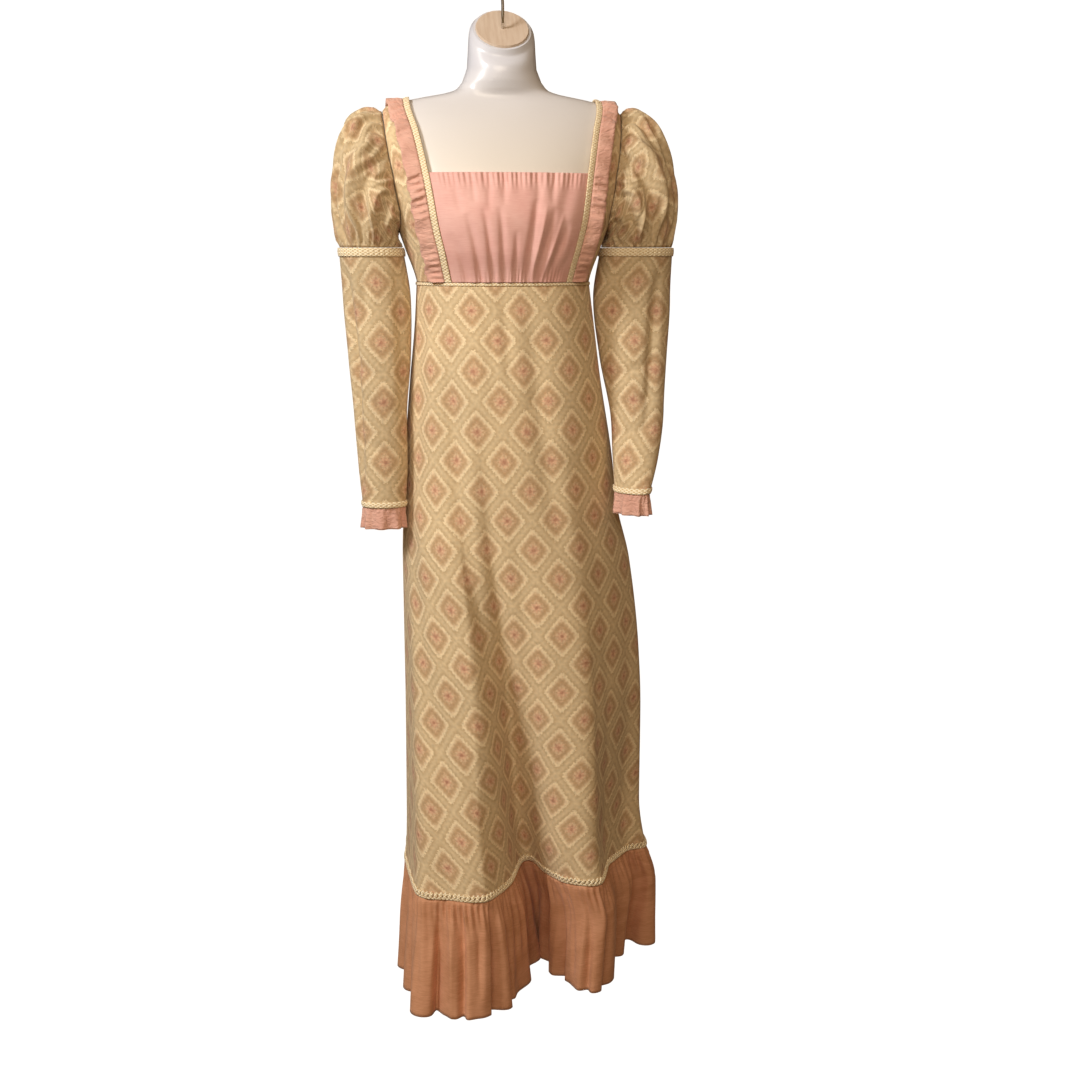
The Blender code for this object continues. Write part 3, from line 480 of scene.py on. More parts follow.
# %% Columns over the shoulder
RUFFLE_START, RUFFLE_WIDTH, TRIM_WIDTH = 0.0097, 0.024, 0.009
PANEL_EDGE = RUFFLE_START + RUFFLE_WIDTH
LOW_TOP = {FRONT: NECKLINE, BACK: BACK_NECKLINE}
LOW_ROWS, HIGH_ROWS = 80, 46


def edge_x(height, layer):
    """The side seam below the underarm and the armhole above it."""
    side = half_width(height, cloth_out(height, layer))[0]
    return np.where(height < UNDERARM, side, armhole_x(height, layer))


def column_x(height, place, face, layer):
    """Places 0 to 1 go from the princess seam to the ruffle's edge, 1 to 2 on to the armhole."""
    inner = princess_x(height, face) + PANEL_EDGE * np.minimum(place, 1)
    return inner + np.maximum(place - 1, 0) * (edge_x(height, layer) - inner)


def up_panel(place, face, layer, low_rows=LOW_ROWS, high_rows=HIGH_ROWS):
    """Columns from the waist seam to the shoulder line, closer together as they near its ridge."""
    low = np.linspace(WAIST_SEAM + SEAM_GAP, LOW_TOP[face], low_rows)[:, None]
    search = np.linspace(1.33, 1.405, 1501)[:, None]
    spare = half_width(search, cloth_out(search, layer))[0] - column_x(search, place, face, layer)
    first = np.argmax(spare < 0, axis=0)
    column = np.arange(len(place))
    before, after = spare[first - 1, column], spare[first, column]
    top = search[first - 1, 0] + before / (before - after) * (search[1, 0] - search[0, 0])
    share = np.linspace(0, 1, high_rows)[1:, None]
    high = top - (top - LOW_TOP[face]) * (1 - share) ** 2
    height = np.concatenate([np.broadcast_to(low, (low_rows, len(place))), high])
    x = column_x(height, place, face, layer)
    return torso_point(x, height, cloth_out(height, layer), face)


def seams_apart(points, face):
    """Draws the panel back a little from the side seam and from the shoulder seam."""
    below = points[:, -1, 2] < UNDERARM
    points[below, -1, 1] += face * SEAM_GAP
    points[-1, :, 1] += face * SEAM_GAP
    return points


def panel_cut(points, start=0):
    """The flat cut: length across from one column, and height up the panel along its own run."""
    return np.stack([run_along(points, 1, start), run_along(points, 0) + WAIST_SEAM], axis=-1)


# %% Side fronts
place = np.concatenate([np.linspace(0, 1, 16), np.linspace(1, 2, 26)[1:]])
front_cut = panel_cut(up_panel(place, FRONT, CLOTH / 2))
front_cut[..., 0] += 0.1
for name, side in SIDES.items():
    sew(
        "side_front_" + name,
        lambda out: seams_apart(up_panel(place, FRONT, out), FRONT),
        front_cut * [side, 1],
        "draped",
        ["torso_form"],
        side=side,
    )

# %% [markdown]
# The back has the same strap columns, and more columns inside them that reach the zip and stop at
# the back neckline. One grid holds both, and the quads above the neckline are left out.

# %% Backs
ZIP_OPENING = 0.0015
INNER_COLUMNS = 34
low = np.linspace(WAIST_SEAM + SEAM_GAP, BACK_NECKLINE, LOW_ROWS)[:, None]


def back_surface(out):
    """Columns from the zip to the strap, and the strap's own beside them."""
    strap = seams_apart(up_panel(place, BACK, out), BACK)
    share = np.linspace(0, 1, INNER_COLUMNS + 1)[:-1]
    x = ZIP_OPENING + share * (princess_x(low, BACK) - ZIP_OPENING)
    inside = torso_point(x, low, cloth_out(low, out), BACK)
    spare = np.repeat(strap[LOW_ROWS:, :1], INNER_COLUMNS, axis=1)
    return np.concatenate([np.concatenate([inside, spare]), strap], axis=1)


middle = back_surface(CLOTH / 2)
back_cut = np.stack([middle[..., 0], run_along(middle, 0) + WAIST_SEAM], axis=-1)
strap_part = middle[:, INNER_COLUMNS:]
back_cut[:, INNER_COLUMNS:, 0] = run_along(strap_part, 1) + strap_part[:, :1, 0]
rows, columns = middle.shape[:2]
kept = (np.arange(rows - 1)[:, None] < LOW_ROWS - 1) | (np.arange(columns - 1) >= INNER_COLUMNS)
for name, side in SIDES.items():
    sew(
        "bodice_back_" + name,
        back_surface,
        back_cut * [side, 1],
        "draped",
        ["torso_form"],
        keep=kept,
        side=side,
    )

# %% [markdown]
# ## Neck lace and pinafore ruffles
# Flat lace follows the princess seam from the front waist over the shoulder to the back waist. A
# gathered pink ruffle stands beside it. The ruffle is worked out along its own length: how far a
# point has run decides its place in the wave, so the waves stay even where the rows bunch up.

# %% Over the shoulder
def over_shoulder(place, layer, times=1):
    """Columns up the front and down the back, joined on the shoulder line."""
    front = up_panel(place, FRONT, layer, 84 * times, 50 * times)
    back = up_panel(place, BACK, layer, 110 * times, 40 * times)
    return np.concatenate([front, back[::-1][1:]])


def strap_cut(points):
    """The flat cut of a strip that goes over the shoulder: across it, and along it from the front."""
    return np.stack([run_along(points, 1), run_along(points, 0)], axis=-1)


def beads(run, share, loop, height):
    """Height of the loops along a lace: height * |cos(pi * run / loop)| * sin(pi * share)."""
    return height * np.abs(np.cos(pi * run / loop)) * np.sin(pi * share)


# The real loops are about 4 mm apart, too fine to show, so they are drawn further apart.
LACE_LOOP, BRAID_LOOP = 0.0074, 0.0058
NECK_BEAD, BAND_BEAD = 0.0008, 0.0009
lace_share = np.linspace(0, 1, 7)
lace_places = (0.0004 + TRIM_WIDTH * lace_share) / PANEL_EDGE
lace_low = over_shoulder(lace_places, ON_PANEL, 2)
lace_off = unit(over_shoulder(lace_places, ON_PANEL + 0.003, 2) - lace_low)
lace_cut = strap_cut(lace_low)
lace_beads = beads(lace_cut[..., 1], lace_share, LACE_LOOP, NECK_BEAD)
for name, side in SIDES.items():
    sew(
        "neck_trim_" + name,
        lambda out: lace_low + lace_off * (out * (1 + lace_beads / LACE))[..., None],
        lace_cut,
        "draped",
        ["cloth_side_front_" + name, "cloth_bodice_back_" + name],
        LACE,
        side=side,
    )

# %% Ruffles
RUFFLE_WAVES, RUFFLE_PINCHES = 18, 61
RUFFLE_RISE, WAVE_DEEP, PLEAT_DEEP, LEFT_FLARE = 0.0085, 0.0050, 0.0030, 0.014
ruffle_places = (RUFFLE_START + RUFFLE_WIDTH * np.linspace(0, 1, 9)) / PANEL_EDGE
ruffle_low = over_shoulder(ruffle_places, ON_PANEL + 0.0002)
ruffle_off = unit(over_shoulder(ruffle_places, ON_PANEL + 0.0042) - ruffle_low)
along = run_along(ruffle_low, 0)
along = along / along[-1:]
out_share = np.linspace(0, 1, 9)[None]
wave = waves(along, 2 * pi * RUFFLE_WAVES, 0.9, 9) * uneven(along, 0.25, 2 * pi * 5, 1)
fine = waves(along, 2 * pi * RUFFLE_PINCHES, 2.5, 13) * uneven(along, 0.45, 31, 1)
over_top = 1 + 0.6 * near(along, 0.45, 0.16)
pleats = PLEAT_DEEP * over_top * fine * fade(out_share, 0.0, 0.35) * (1.25 - out_share)
edge_in = 0.0014 * out_share**2 * (wave + 0.6 * fine)
for name, side in SIDES.items():
    flare = near(along, 0.13, 0.09) * (LEFT_FLARE if side > 0 else 0.0)
    rise = out_share * (RUFFLE_RISE + flare + WAVE_DEEP * wave) + pleats
    sew(
        "ruffle_" + name,
        lambda out: ruffle_low + ruffle_off * (rise + out)[..., None] - edge_in[..., None] * [1, 0, 0],
        strap_cut(ruffle_low),
        "gathered",
        ["cloth_neck_trim_" + name, "cloth_side_front_" + name],
        LACE,
        side=side,
    )

# %% [markdown]
# ## The skirt
# Without folds the skirt would be a superellipse at every height. The hem's folds are listed one
# by one, and they grow from nothing near the waist to their full depth at the hem, as they do in
# cloth that hangs from a seam. A row of FOLDS gives degrees from the centre front, and the x and y
# that the hem has there.

# %% The line the skirt hangs in
SKIRT = table(
    "height left right front back squareness",
    [
        (0.000, -0.166, 0.246, 0.200, 0.190, 2.4),
        (0.120, -0.164, 0.252, 0.192, 0.182, 2.4),
        (0.180, -0.162, 0.235, 0.187, 0.177, 2.4),
        (0.270, -0.160, 0.222, 0.180, 0.170, 2.4),
        (0.430, -0.160, 0.221, 0.170, 0.162, 2.4),
        (0.530, -0.160, 0.216, 0.163, 0.155, 2.4),
        (0.680, -0.160, 0.198, 0.152, 0.145, 2.4),
        (0.770, -0.157, 0.177, 0.144, 0.137, 2.3),
        (0.850, -0.153, 0.168, 0.136, 0.128, 2.3),
        (0.970, -0.143, 0.149, 0.122, 0.112, 2.3),
        (1.050, -0.135, 0.139, 0.110, 0.099, 2.3),
        (1.115, -0.131, 0.131, 0.101, 0.090, 2.3),
    ],
)
FOLDS = np.array(
    [
        (-62, -0.158, -0.178),
        (-35, -0.104, -0.197),
        (-12, -0.048, -0.206),
        (-4, 0.013, -0.115),
        (4, 0.058, 0.008),
        (11, 0.073, -0.070),
        (20, 0.096, -0.130),
        (36, 0.138, -0.150),
        (47, 0.166, -0.050),
        (62, 0.200, 0.000),
        (80, 0.247, 0.010),
        (100, 0.242, 0.075),
        (118, 0.192, 0.128),
        (134, 0.166, 0.188),
        (150, 0.112, 0.156),
        (166, 0.074, 0.206),
        (182, 0.030, 0.166),
        (199, -0.014, 0.208),
        (217, -0.060, 0.160),
        (235, -0.108, 0.188),
        (254, -0.150, 0.128),
        (272, -0.160, 0.060),
        (285, -0.169, -0.010),
    ]
)
FOLDS_START, FOLDS_DRIFT = 0.93, 24.0


def skirt_base(degrees, height):
    """A superellipse whose four reaches come from the table; 0 degrees is the centre front."""
    turn = np.radians(degrees)
    left, right = SKIRT("left", height), SKIRT("right", height)
    power = 2 / SKIRT("squareness", height)
    depth = np.where(np.cos(turn) > 0, -SKIRT("front", height), -SKIRT("back", height))
    x = (left + right) / 2 + (right - left) / 2 * np.sign(np.sin(turn)) * np.abs(np.sin(turn)) ** power
    return x, depth * np.sign(np.cos(turn)) * np.abs(np.cos(turn)) ** power


def fold_shift(degrees):
    """How far the folded hem lies from the plain one, read smoothly all the way round."""
    places, plain = FOLDS[:, 0], skirt_base(FOLDS[:, 0], 0.0)
    ends = np.concatenate([places[-3:] - 360, places, places[:3] + 360])
    moved = [FOLDS[:, axis + 1] - plain[axis] for axis in range(2)]
    return [smooth_at(ends, np.concatenate([m[-3:], m, m[:3]]), degrees) for m in moved]


def skirt_line(degrees, height):
    """The plain line plus the hem's shift times ((start - height) / start)^1.5."""
    near_front = np.mod(degrees + 180, 360) - 180
    drift = FOLDS_DRIFT * height * near(near_front, 0, 60)
    x, y = skirt_base(degrees - drift, height)
    grown = np.clip((FOLDS_START - height) / FOLDS_START, 0, 1) ** 1.5
    shift_x, shift_y = fold_shift(np.mod(degrees + 75, 360) - 75)
    return x + grown * shift_x, y + grown * shift_y


def skirt_point(degrees, height, out):
    """A point of the skirt moved out square to the line that it hangs in."""
    degrees, height, out = np.broadcast_arrays(degrees, height, out)
    x, y = skirt_line(degrees, height)
    ahead, behind = skirt_line(degrees + 0.2, height), skirt_line(degrees - 0.2, height)
    run_x, run_y = ahead[0] - behind[0], ahead[1] - behind[1]
    length = np.hypot(run_x, run_y)
    return np.stack([x + out * run_y / length, y - out * run_x / length, height], axis=-1)


def hem_shares(first, last, count, blend=0.35):
    """Angles between two places, nearer together where the hem runs deep into a fold."""
    dense = np.linspace(first, last, 1441)
    x, y = skirt_line(dense, 0.1)
    run = np.concatenate([[0], np.cumsum(np.hypot(np.diff(x), np.diff(y)))])
    measure = run / run[-1] * (1 - blend) + (dense - first) / (last - first) * blend
    return np.interp(np.linspace(0, 1, count), measure, dense)


# %% [markdown]
# The front is one panel and the back is two, either side of the zip. The flat cut counts across
# from the centre front, or from the zip, so the diamonds stand upright there and run into the
# side seams at whatever point the panel ends, as in most home-sewn dresses.

# %% Skirt panels
SIDE_LEFT, SIDE_RIGHT, CENTRE_BACK, SEAM_DEG = -85.0, 95.0, 180.0, 0.02
ZIP_BOTTOM = 0.970
SKIRT_CREASES = {
    "skirt_front": [
        (-0.040, 1.060, -0.018, 0.520, 0.0150, 0.0085),
        (-0.010, 0.950, 0.012, 0.480, 0.0160, -0.0040),
        (-0.085, 1.105, -0.105, 0.780, 0.0150, 0.0034),
        (0.050, 1.112, 0.062, 0.960, 0.0100, 0.0042),
        (0.088, 1.100, 0.120, 0.700, 0.0170, 0.0060),
        (0.030, 1.105, 0.034, 0.900, 0.0120, 0.0022),
        (-0.125, 0.900, -0.140, 0.330, 0.0180, 0.0050),
        (-0.085, 0.660, -0.100, 0.240, 0.0150, 0.0046),
        (0.150, 0.720, 0.205, 0.300, 0.0180, 0.0046),
        (0.052, 0.780, 0.070, 0.330, 0.0150, 0.0044),
        (-0.055, 0.560, -0.060, 0.210, 0.0130, -0.0034),
        (-0.060, 1.030, 0.000, 0.985, 0.0090, 0.0014),
        (0.110, 0.960, 0.060, 0.905, 0.0100, 0.0016),
    ],
    "skirt_back_right": [
        (-0.040, 1.105, -0.060, 0.740, 0.0140, 0.0048),
        (-0.090, 1.080, -0.125, 0.680, 0.0150, 0.0040),
        (-0.150, 0.820, -0.190, 0.330, 0.0180, 0.0050),
        (-0.020, 0.760, -0.045, 0.260, 0.0160, 0.0040),
    ],
    "skirt_back_left": [
        (0.050, 1.100, 0.068, 0.780, 0.0140, 0.0042),
        (0.104, 1.070, 0.130, 0.720, 0.0150, 0.0046),
        (0.145, 0.780, 0.176, 0.300, 0.0180, 0.0050),
        (0.030, 0.700, 0.060, 0.240, 0.0150, 0.0036),
    ],
}
PANELS = {
    "skirt_front": (SIDE_LEFT + SEAM_DEG, SIDE_RIGHT - SEAM_DEG, 261),
    "skirt_back_right": (SIDE_RIGHT + SEAM_DEG, CENTRE_BACK, 121),
    "skirt_back_left": (CENTRE_BACK, SIDE_LEFT + 360 - SEAM_DEG, 121),
}
skirt_heights = np.linspace(FLOUNCE_SEAM + SEAM_GAP, WAIST_SEAM - SEAM_GAP, 101)[:, None]
skirt_seam_fade = fade(skirt_heights, 0.18, 0.25) * (1 - fade(skirt_heights, 1.085, WAIST_SEAM))


def zip_gap(places, heights, right):
    """Draws the centre-back column back, by half the zip's opening above the zip's end."""
    ahead = skirt_line(CENTRE_BACK + 0.5 + 0 * heights, heights)
    behind = skirt_line(CENTRE_BACK - 0.5 + 0 * heights, heights)
    run_of_degree = np.hypot(ahead[0] - behind[0], ahead[1] - behind[1])
    gap = np.where(heights >= ZIP_BOTTOM, ZIP_OPENING, SEAM_GAP) / run_of_degree
    column = -1 if right else 0
    places[:, column] += (-gap if right else gap)[:, 0]
    return places


def skirt_places(name, heights):
    """A panel's columns as angles, one row for each height."""
    first, last, count = PANELS[name]
    places = np.repeat(hem_shares(first, last, count)[None], len(heights), axis=0)
    if name == "skirt_front":
        return places
    return zip_gap(places, heights, name == "skirt_back_right")


def count_from(name, places):
    """The column that the flat cut counts from: centre front, or the edge beside the zip."""
    if name == "skirt_front":
        return int(np.argmin(np.abs(places[0])))
    return -1 if name == "skirt_back_right" else 0


for name in PANELS:
    places = skirt_places(name, skirt_heights)
    flat = skirt_point(places, skirt_heights, 0.0)
    start = count_from(name, places) % places.shape[1]
    cut = np.stack([run_along(flat, 1, start), flat[..., 2]], axis=-1)
    moved = creases(cut, SKIRT_CREASES[name]) * skirt_seam_fade
    hang = "cloth_bodice_front" if name == "skirt_front" else "cloth_bodice_back_" + name.split("_")[-1]
    sew(name, lambda out: skirt_point(places, skirt_heights, moved + out), cut, "hung", [hang])

# %% [markdown]
# ## The flounce
# The flounce is a straight strip, much longer than the skirt's edge, drawn up into it. Right at
# the seam the gathers are many and fine. They open lower down into rolling waves, and the largest
# folds are listed one by one, by length along the seam and by height.

# %% Flounce
FLOUNCE_CREASES = {
    "front": [
        (0.286, 0.172, 0.282, -0.110, 0.0084, 0.0165),
        (0.338, 0.174, 0.336, -0.110, 0.0078, 0.0142),
        (0.372, 0.170, 0.370, 0.030, 0.0060, 0.0048),
        (0.404, 0.174, 0.408, -0.110, 0.0090, 0.0180),
        (0.442, 0.170, 0.448, -0.100, 0.0084, 0.0135),
        (0.312, 0.168, 0.310, -0.080, 0.0096, -0.0060),
        (0.376, 0.168, 0.380, -0.090, 0.0132, -0.0060),
        (0.250, 0.165, 0.246, 0.020, 0.0072, 0.0048),
        (0.180, 0.172, 0.176, -0.110, 0.0096, 0.0120),
        (0.100, 0.170, 0.104, -0.100, 0.0096, 0.0120),
        (0.752, 0.174, 0.756, -0.110, 0.0084, 0.0165),
        (0.786, 0.170, 0.790, 0.010, 0.0060, 0.0054),
        (0.820, 0.172, 0.826, -0.110, 0.0084, 0.0128),
        (0.724, 0.168, 0.722, -0.080, 0.0096, -0.0054),
        (0.868, 0.170, 0.872, -0.110, 0.0096, 0.0135),
        (0.980, 0.172, 0.984, -0.100, 0.0096, 0.0120),
        (1.060, 0.172, 1.066, -0.110, 0.0102, 0.0150),
        (1.110, 0.168, 1.112, 0.010, 0.0072, 0.0060),
    ],
    "back": [
        (0.110, 0.172, 0.104, -0.110, 0.0096, 0.0142),
        (0.205, 0.172, 0.210, -0.110, 0.0090, 0.0128),
        (0.262, 0.170, 0.258, 0.010, 0.0066, 0.0060),
        (0.330, 0.174, 0.336, -0.110, 0.0096, 0.0158),
        (0.430, 0.172, 0.424, -0.110, 0.0090, 0.0135),
        (0.505, 0.170, 0.508, 0.000, 0.0072, 0.0066),
        (0.575, 0.172, 0.580, -0.110, 0.0096, 0.0150),
        (0.690, 0.172, 0.684, -0.110, 0.0090, 0.0128),
        (0.775, 0.174, 0.780, -0.110, 0.0096, 0.0165),
        (0.850, 0.170, 0.846, 0.020, 0.0072, 0.0060),
        (0.930, 0.172, 0.936, -0.110, 0.0096, 0.0142),
        (1.050, 0.172, 1.046, -0.110, 0.0096, 0.0128),
    ],
}
FLOUNCE_RUN = 1.17
FLOUNCE_WAVES, FLOUNCE_ROLLS, FLOUNCE_PUCKERS = 14, 41, 92
WAVE_AT_SEAM, WAVE_AT_HEM = 0.0012, 0.0074
FLOUNCE_FLARE, PUCKER_DEEP, ROLL_DEEP = 0.005, 0.0024, 0.0034
SKIRT_BACKS = ["cloth_skirt_back_left", "cloth_skirt_back_right"]
flounce_heights = np.linspace(0.0, FLOUNCE_SEAM - SEAM_GAP, 33)[:, None]
seam_share = np.linspace(0, 1, 641)
down = (FLOUNCE_SEAM - flounce_heights) / FLOUNCE_SEAM
edge_fade = 1 - np.abs(2 * seam_share - 1) ** 40
wave = waves(seam_share, 2 * pi * FLOUNCE_WAVES, 1.3, 11) * uneven(seam_share, 0.2, 23, 1)
pinch = waves(seam_share, 2 * pi * FLOUNCE_PUCKERS, 2.5, 17) * uneven(seam_share, 0.3, 41, 2)
roll = waves(seam_share, 2 * pi * FLOUNCE_ROLLS, 3, 13, 1.5 * down) * uneven(seam_share, 0.5, 29, 1)
puckers = PUCKER_DEEP * near(down, 0.08, 0.15) * fade(down, 0.0, 0.04) * pinch
rolls = ROLL_DEEP * near(down, 0.34, 0.30) * roll
full = FLOUNCE_FLARE * down**0.7 + (WAVE_AT_SEAM + WAVE_AT_HEM * down**0.8) * wave
unfolded = on_grid(seam_share * FLOUNCE_RUN, flounce_heights)
for name, first, last in (("front", SIDE_LEFT, SIDE_RIGHT), ("back", SIDE_RIGHT, SIDE_LEFT + 360)):
    places = hem_shares(first + SEAM_DEG, last - SEAM_DEG, len(seam_share), 0.05)[None]
    layer = edge_fade * (full + puckers + rolls + creases(unfolded, FLOUNCE_CREASES[name]))
    flat = skirt_point(places, flounce_heights, layer)
    sew(
        "flounce_" + name,
        lambda out: skirt_point(places, flounce_heights, layer + out),
        np.stack([run_along(flat, 1), flat[..., 2]], axis=-1),
        "gathered",
        ["cloth_skirt_front"] if name == "front" else SKIRT_BACKS,
    )

# %% [markdown]
# Lace covers the flounce seam and a narrow braid the waist seam. Both are read from the skirt's
# own angles, a cloth's thickness further out. The flounce's lace has a row of small holes: quads
# between its loops are left out.

# %% Laces on the skirt
def finer(places, times):
    """The same run of angles with more columns between, read in straight lines."""
    old = np.arange(places.shape[1])
    new = np.linspace(0, old[-1], old[-1] * times + 1)
    return np.stack([np.interp(new, old, row) for row in places])


HOLE_BELOW, HOLE_ROW, HOLE_REACH = 0.42, 0.55, 0.2


def ribbon(name, places, heights, loop, scallop, held_by):
    """A strip parallel to the skirt. |cos(pi * run / loop)| lifts its top edge and swells its face."""
    run = run_along(skirt_point(places, heights, ON_PANEL), 1)
    share = (heights - heights[0]) / (heights[-1] - heights[0])
    loops = np.abs(np.cos(pi * run / loop + 0.5 * np.sin(9 * run)))
    edge = heights + scallop * (loops - 0.6) * share**2
    swell = 0.55 * scallop * loops * np.sin(pi * share)
    cut = np.stack([run, edge - heights[0, 0]], axis=-1)
    between_loops = (loops[:-1, :-1] + loops[1:, 1:]) / 2 <= HOLE_BELOW
    off_row = np.abs(share[:-1] + 0.5 / len(share) - HOLE_ROW) > HOLE_REACH
    kept = ~between_loops | off_row if scallop else None
    sew(
        name,
        lambda out: skirt_point(places, edge, CLOTH + SEAM_GAP + out * (1 + swell / LACE)),
        cut,
        "draped",
        held_by,
        LACE,
        keep=kept,
    )


def back_places(heights):
    """The angles of the right back's columns and of the left back's."""
    return (skirt_places("skirt_back_" + side, heights) for side in ("right", "left"))


LACE_TOP, BRAID_WIDE, SCALLOP = 0.1905, 0.0045, 0.0036
lace_heights = np.linspace(FLOUNCE_SEAM + SEAM_GAP, LACE_TOP, 7)[:, None]
braid_heights = np.linspace(WAIST_SEAM - BRAID_WIDE, WAIST_SEAM - SEAM_GAP, 5)[:, None]
front_low = skirt_places("skirt_front", lace_heights)
right_low, left_low = back_places(lace_heights)
at_zip = (right_low[:, -1:] + left_low[:, :1]) / 2
back_low = np.concatenate([right_low[:, :-1], at_zip, left_low[:, 1:]], axis=1)
ribbon("flounce_trim_front", finer(front_low, 4), lace_heights, LACE_LOOP, SCALLOP, ["cloth_skirt_front"])
ribbon("flounce_trim_back", finer(back_low, 4), lace_heights, LACE_LOOP, SCALLOP, SKIRT_BACKS)
front_high = skirt_places("skirt_front", braid_heights)
right_high, left_high = back_places(braid_heights)
round_waist = np.concatenate([left_high - 360, front_high, right_high], axis=1)
ribbon("waist_trim", finer(round_waist, 2), braid_heights, BRAID_LOOP, 0.0, ["cloth_skirt_front"])

# %% [markdown]
# The back closes with a zip. Its tape, slider and tab are solids already. The teeth fill the gap
# between the two backs: small bars laid side to side, one after another up the centre line.

# %% Zip teeth
TOOTH_PITCH, TOOTH_SHIFT, TEETH_TOP = 0.0015, 0.00022, 1.3165
HALF_TOOTH, TOOTH_DEEP, HALF_TALL = 0.00105, 0.0011, 0.00042
TAPE_FACE = -0.0003


def teeth():
    """One box per tooth, moved up by the pitch and to either side in turn; y follows the back."""
    up = np.arange(ZIP_BOTTOM + 0.002, TEETH_TOP, TOOTH_PITCH)
    back_y = torso_point(0.0, up, cloth_out(up, TAPE_FACE), BACK)[:, 1]
    y = np.where(up < WAIST_SEAM, SKIRT("back", up) + TAPE_FACE, back_y)
    aside = TOOTH_SHIFT * (-1.0) ** np.arange(len(up))
    corners = np.array([[x, d, z] for z in (-1, 1) for d in (0, 1) for x in (-1, 1)], float)
    corners = corners * [HALF_TOOTH, TOOTH_DEEP, HALF_TALL] + [0, 0.0001, 0]
    points = corners[None] + np.stack([aside, y, up - HOOK_SEAT], axis=-1)[:, None]
    box = np.array([[0, 2, 3, 1], [4, 5, 7, 6], [0, 1, 5, 4], [2, 6, 7, 3], [0, 4, 6, 2], [1, 3, 7, 5]])
    faces = box[None] + 8 * np.arange(len(up))[:, None, None]
    print("zip teeth:", len(up))
    return new_piece("zip_teeth", points.reshape(-1, 3), faces.reshape(-1, 4).tolist(), smooth=False)


zip_teeth = teeth()
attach(zip_teeth, "dress")

# %% [markdown]
# ## Sleeves
# A puff is cut much wider than the arm and drawn up at the armhole and again at the band, so that
# it stands up from the shoulder. Each meridian is a cubic curve that leaves the armhole outward
# and comes down into the band from above. The lower sleeve is a tapering tube, flatter than it is
# wide because nothing fills it, and it swings forward as an arm would.

# %% Sleeve tables
SLEEVE_SIZES = "height centre_x centre_y half_width half_depth turn_deg"
SLEEVES = {
    "left": table(
        SLEEVE_SIZES,
        [
            (0.778, 0.1905, -0.056, 0.0310, 0.0240, 0),
            (0.840, 0.1910, -0.048, 0.0360, 0.0280, 4),
            (0.920, 0.1930, -0.036, 0.0390, 0.0330, 6),
            (1.000, 0.1920, -0.018, 0.0460, 0.0370, 4),
            (1.090, 0.1940, -0.006, 0.0500, 0.0400, 0),
            (1.166, 0.2015, 0.000, 0.0470, 0.0430, 0),
        ],
    ),
    "right": table(
        SLEEVE_SIZES,
        [
            (0.800, 0.1840, -0.113, 0.0310, 0.0190, 58),
            (0.850, 0.1930, -0.090, 0.0360, 0.0240, 42),
            (0.920, 0.2010, -0.058, 0.0405, 0.0300, 22),
            (1.000, 0.2015, -0.022, 0.0510, 0.0360, 9),
            (1.090, 0.2020, -0.004, 0.0590, 0.0400, 2),
            (1.166, 0.2095, 0.000, 0.0550, 0.0430, 0),
        ],
    ),
}
PUFF_END, BAND_TOP, BAND_BOTTOM = 1.1665, 1.1661, 1.153
PUFF_LEAVE = {"left": (0.195, 0.125), "right": (0.150, 0.165)}
LEAVE_FORWARD, LEAVE_UNDER = [0, -0.100, 0], [0.014, 0, -0.016]
ARRIVE_TOP, ARRIVE_FORWARD, ARRIVE_UNDER = [-0.055, 0, -0.250], [0, 0.060, 0], [0, 0, -0.020]
WRISTS = {"left": 0.778, "right": 0.800}
WRIST_LACE, CUFF_DEEP = 0.0085, 0.033
ON_SLEEVE = CLOTH + SEAM_GAP + 0.0002


def even(points, count):
    """The points of a run, placed again at equal distances along it."""
    run = np.concatenate([[0], np.cumsum(np.linalg.norm(np.diff(points, axis=0), axis=1))])
    at = np.linspace(0, run[-1], count)
    return np.stack([np.interp(at, run, points[:, i]) for i in range(3)], axis=1)


def armhole_loop(count):
    """The armhole's edge, from the shoulder tip down the front to the underarm and up the back."""
    front, back = (up_panel(np.array([2.0]), face, 0.0, LOW_ROWS, 60)[:, 0] for face in (FRONT, BACK))
    front, back = (column[column[:, 2] > UNDERARM + 0.001] for column in (front, back))
    return even(np.concatenate([front[::-1], back, front[-1:]]), count + 1)[:-1]


def sleeve_ring(sleeve, height, angle, out):
    """An ellipse turned about its own centre; angle 0 points outward and 90 degrees forward."""
    turn = np.radians(sleeve("turn_deg", height))
    wide = (sleeve("half_width", height) + out) * np.cos(angle)
    deep = (sleeve("half_depth", height) + out) * np.sin(angle)
    x = sleeve("centre_x", height) + wide * np.cos(turn) - deep * np.sin(turn)
    y = sleeve("centre_y", height) - deep * np.cos(turn) - wide * np.sin(turn)
    return on_grid(x, y, height)


def puff_middle(sleeve, loop, angle, share, reach):
    """Hermite cubics from the armhole to the band, steeper on top than under the arm."""
    topness = ((1 + np.cos(angle)) / 2)[None, :, None]
    forward = np.sin(angle)[None, :, None]
    end = sleeve_ring(sleeve, PUFF_END, angle, 0.0)[None]
    leave = topness * [reach[0], 0, reach[1]] + forward * LEAVE_FORWARD + LEAVE_UNDER
    arrive = topness * ARRIVE_TOP + forward * ARRIVE_FORWARD + ARRIVE_UNDER
    s = share[:, None, None]
    return hermite(s, loop[None], end, leave, arrive)


def square_to(points):
    """Unit normals of a round grid, from its neighbours' differences."""
    around = np.roll(points, -1, axis=1) - np.roll(points, 1, axis=1)
    return unit(np.cross(np.gradient(points, axis=0), around))


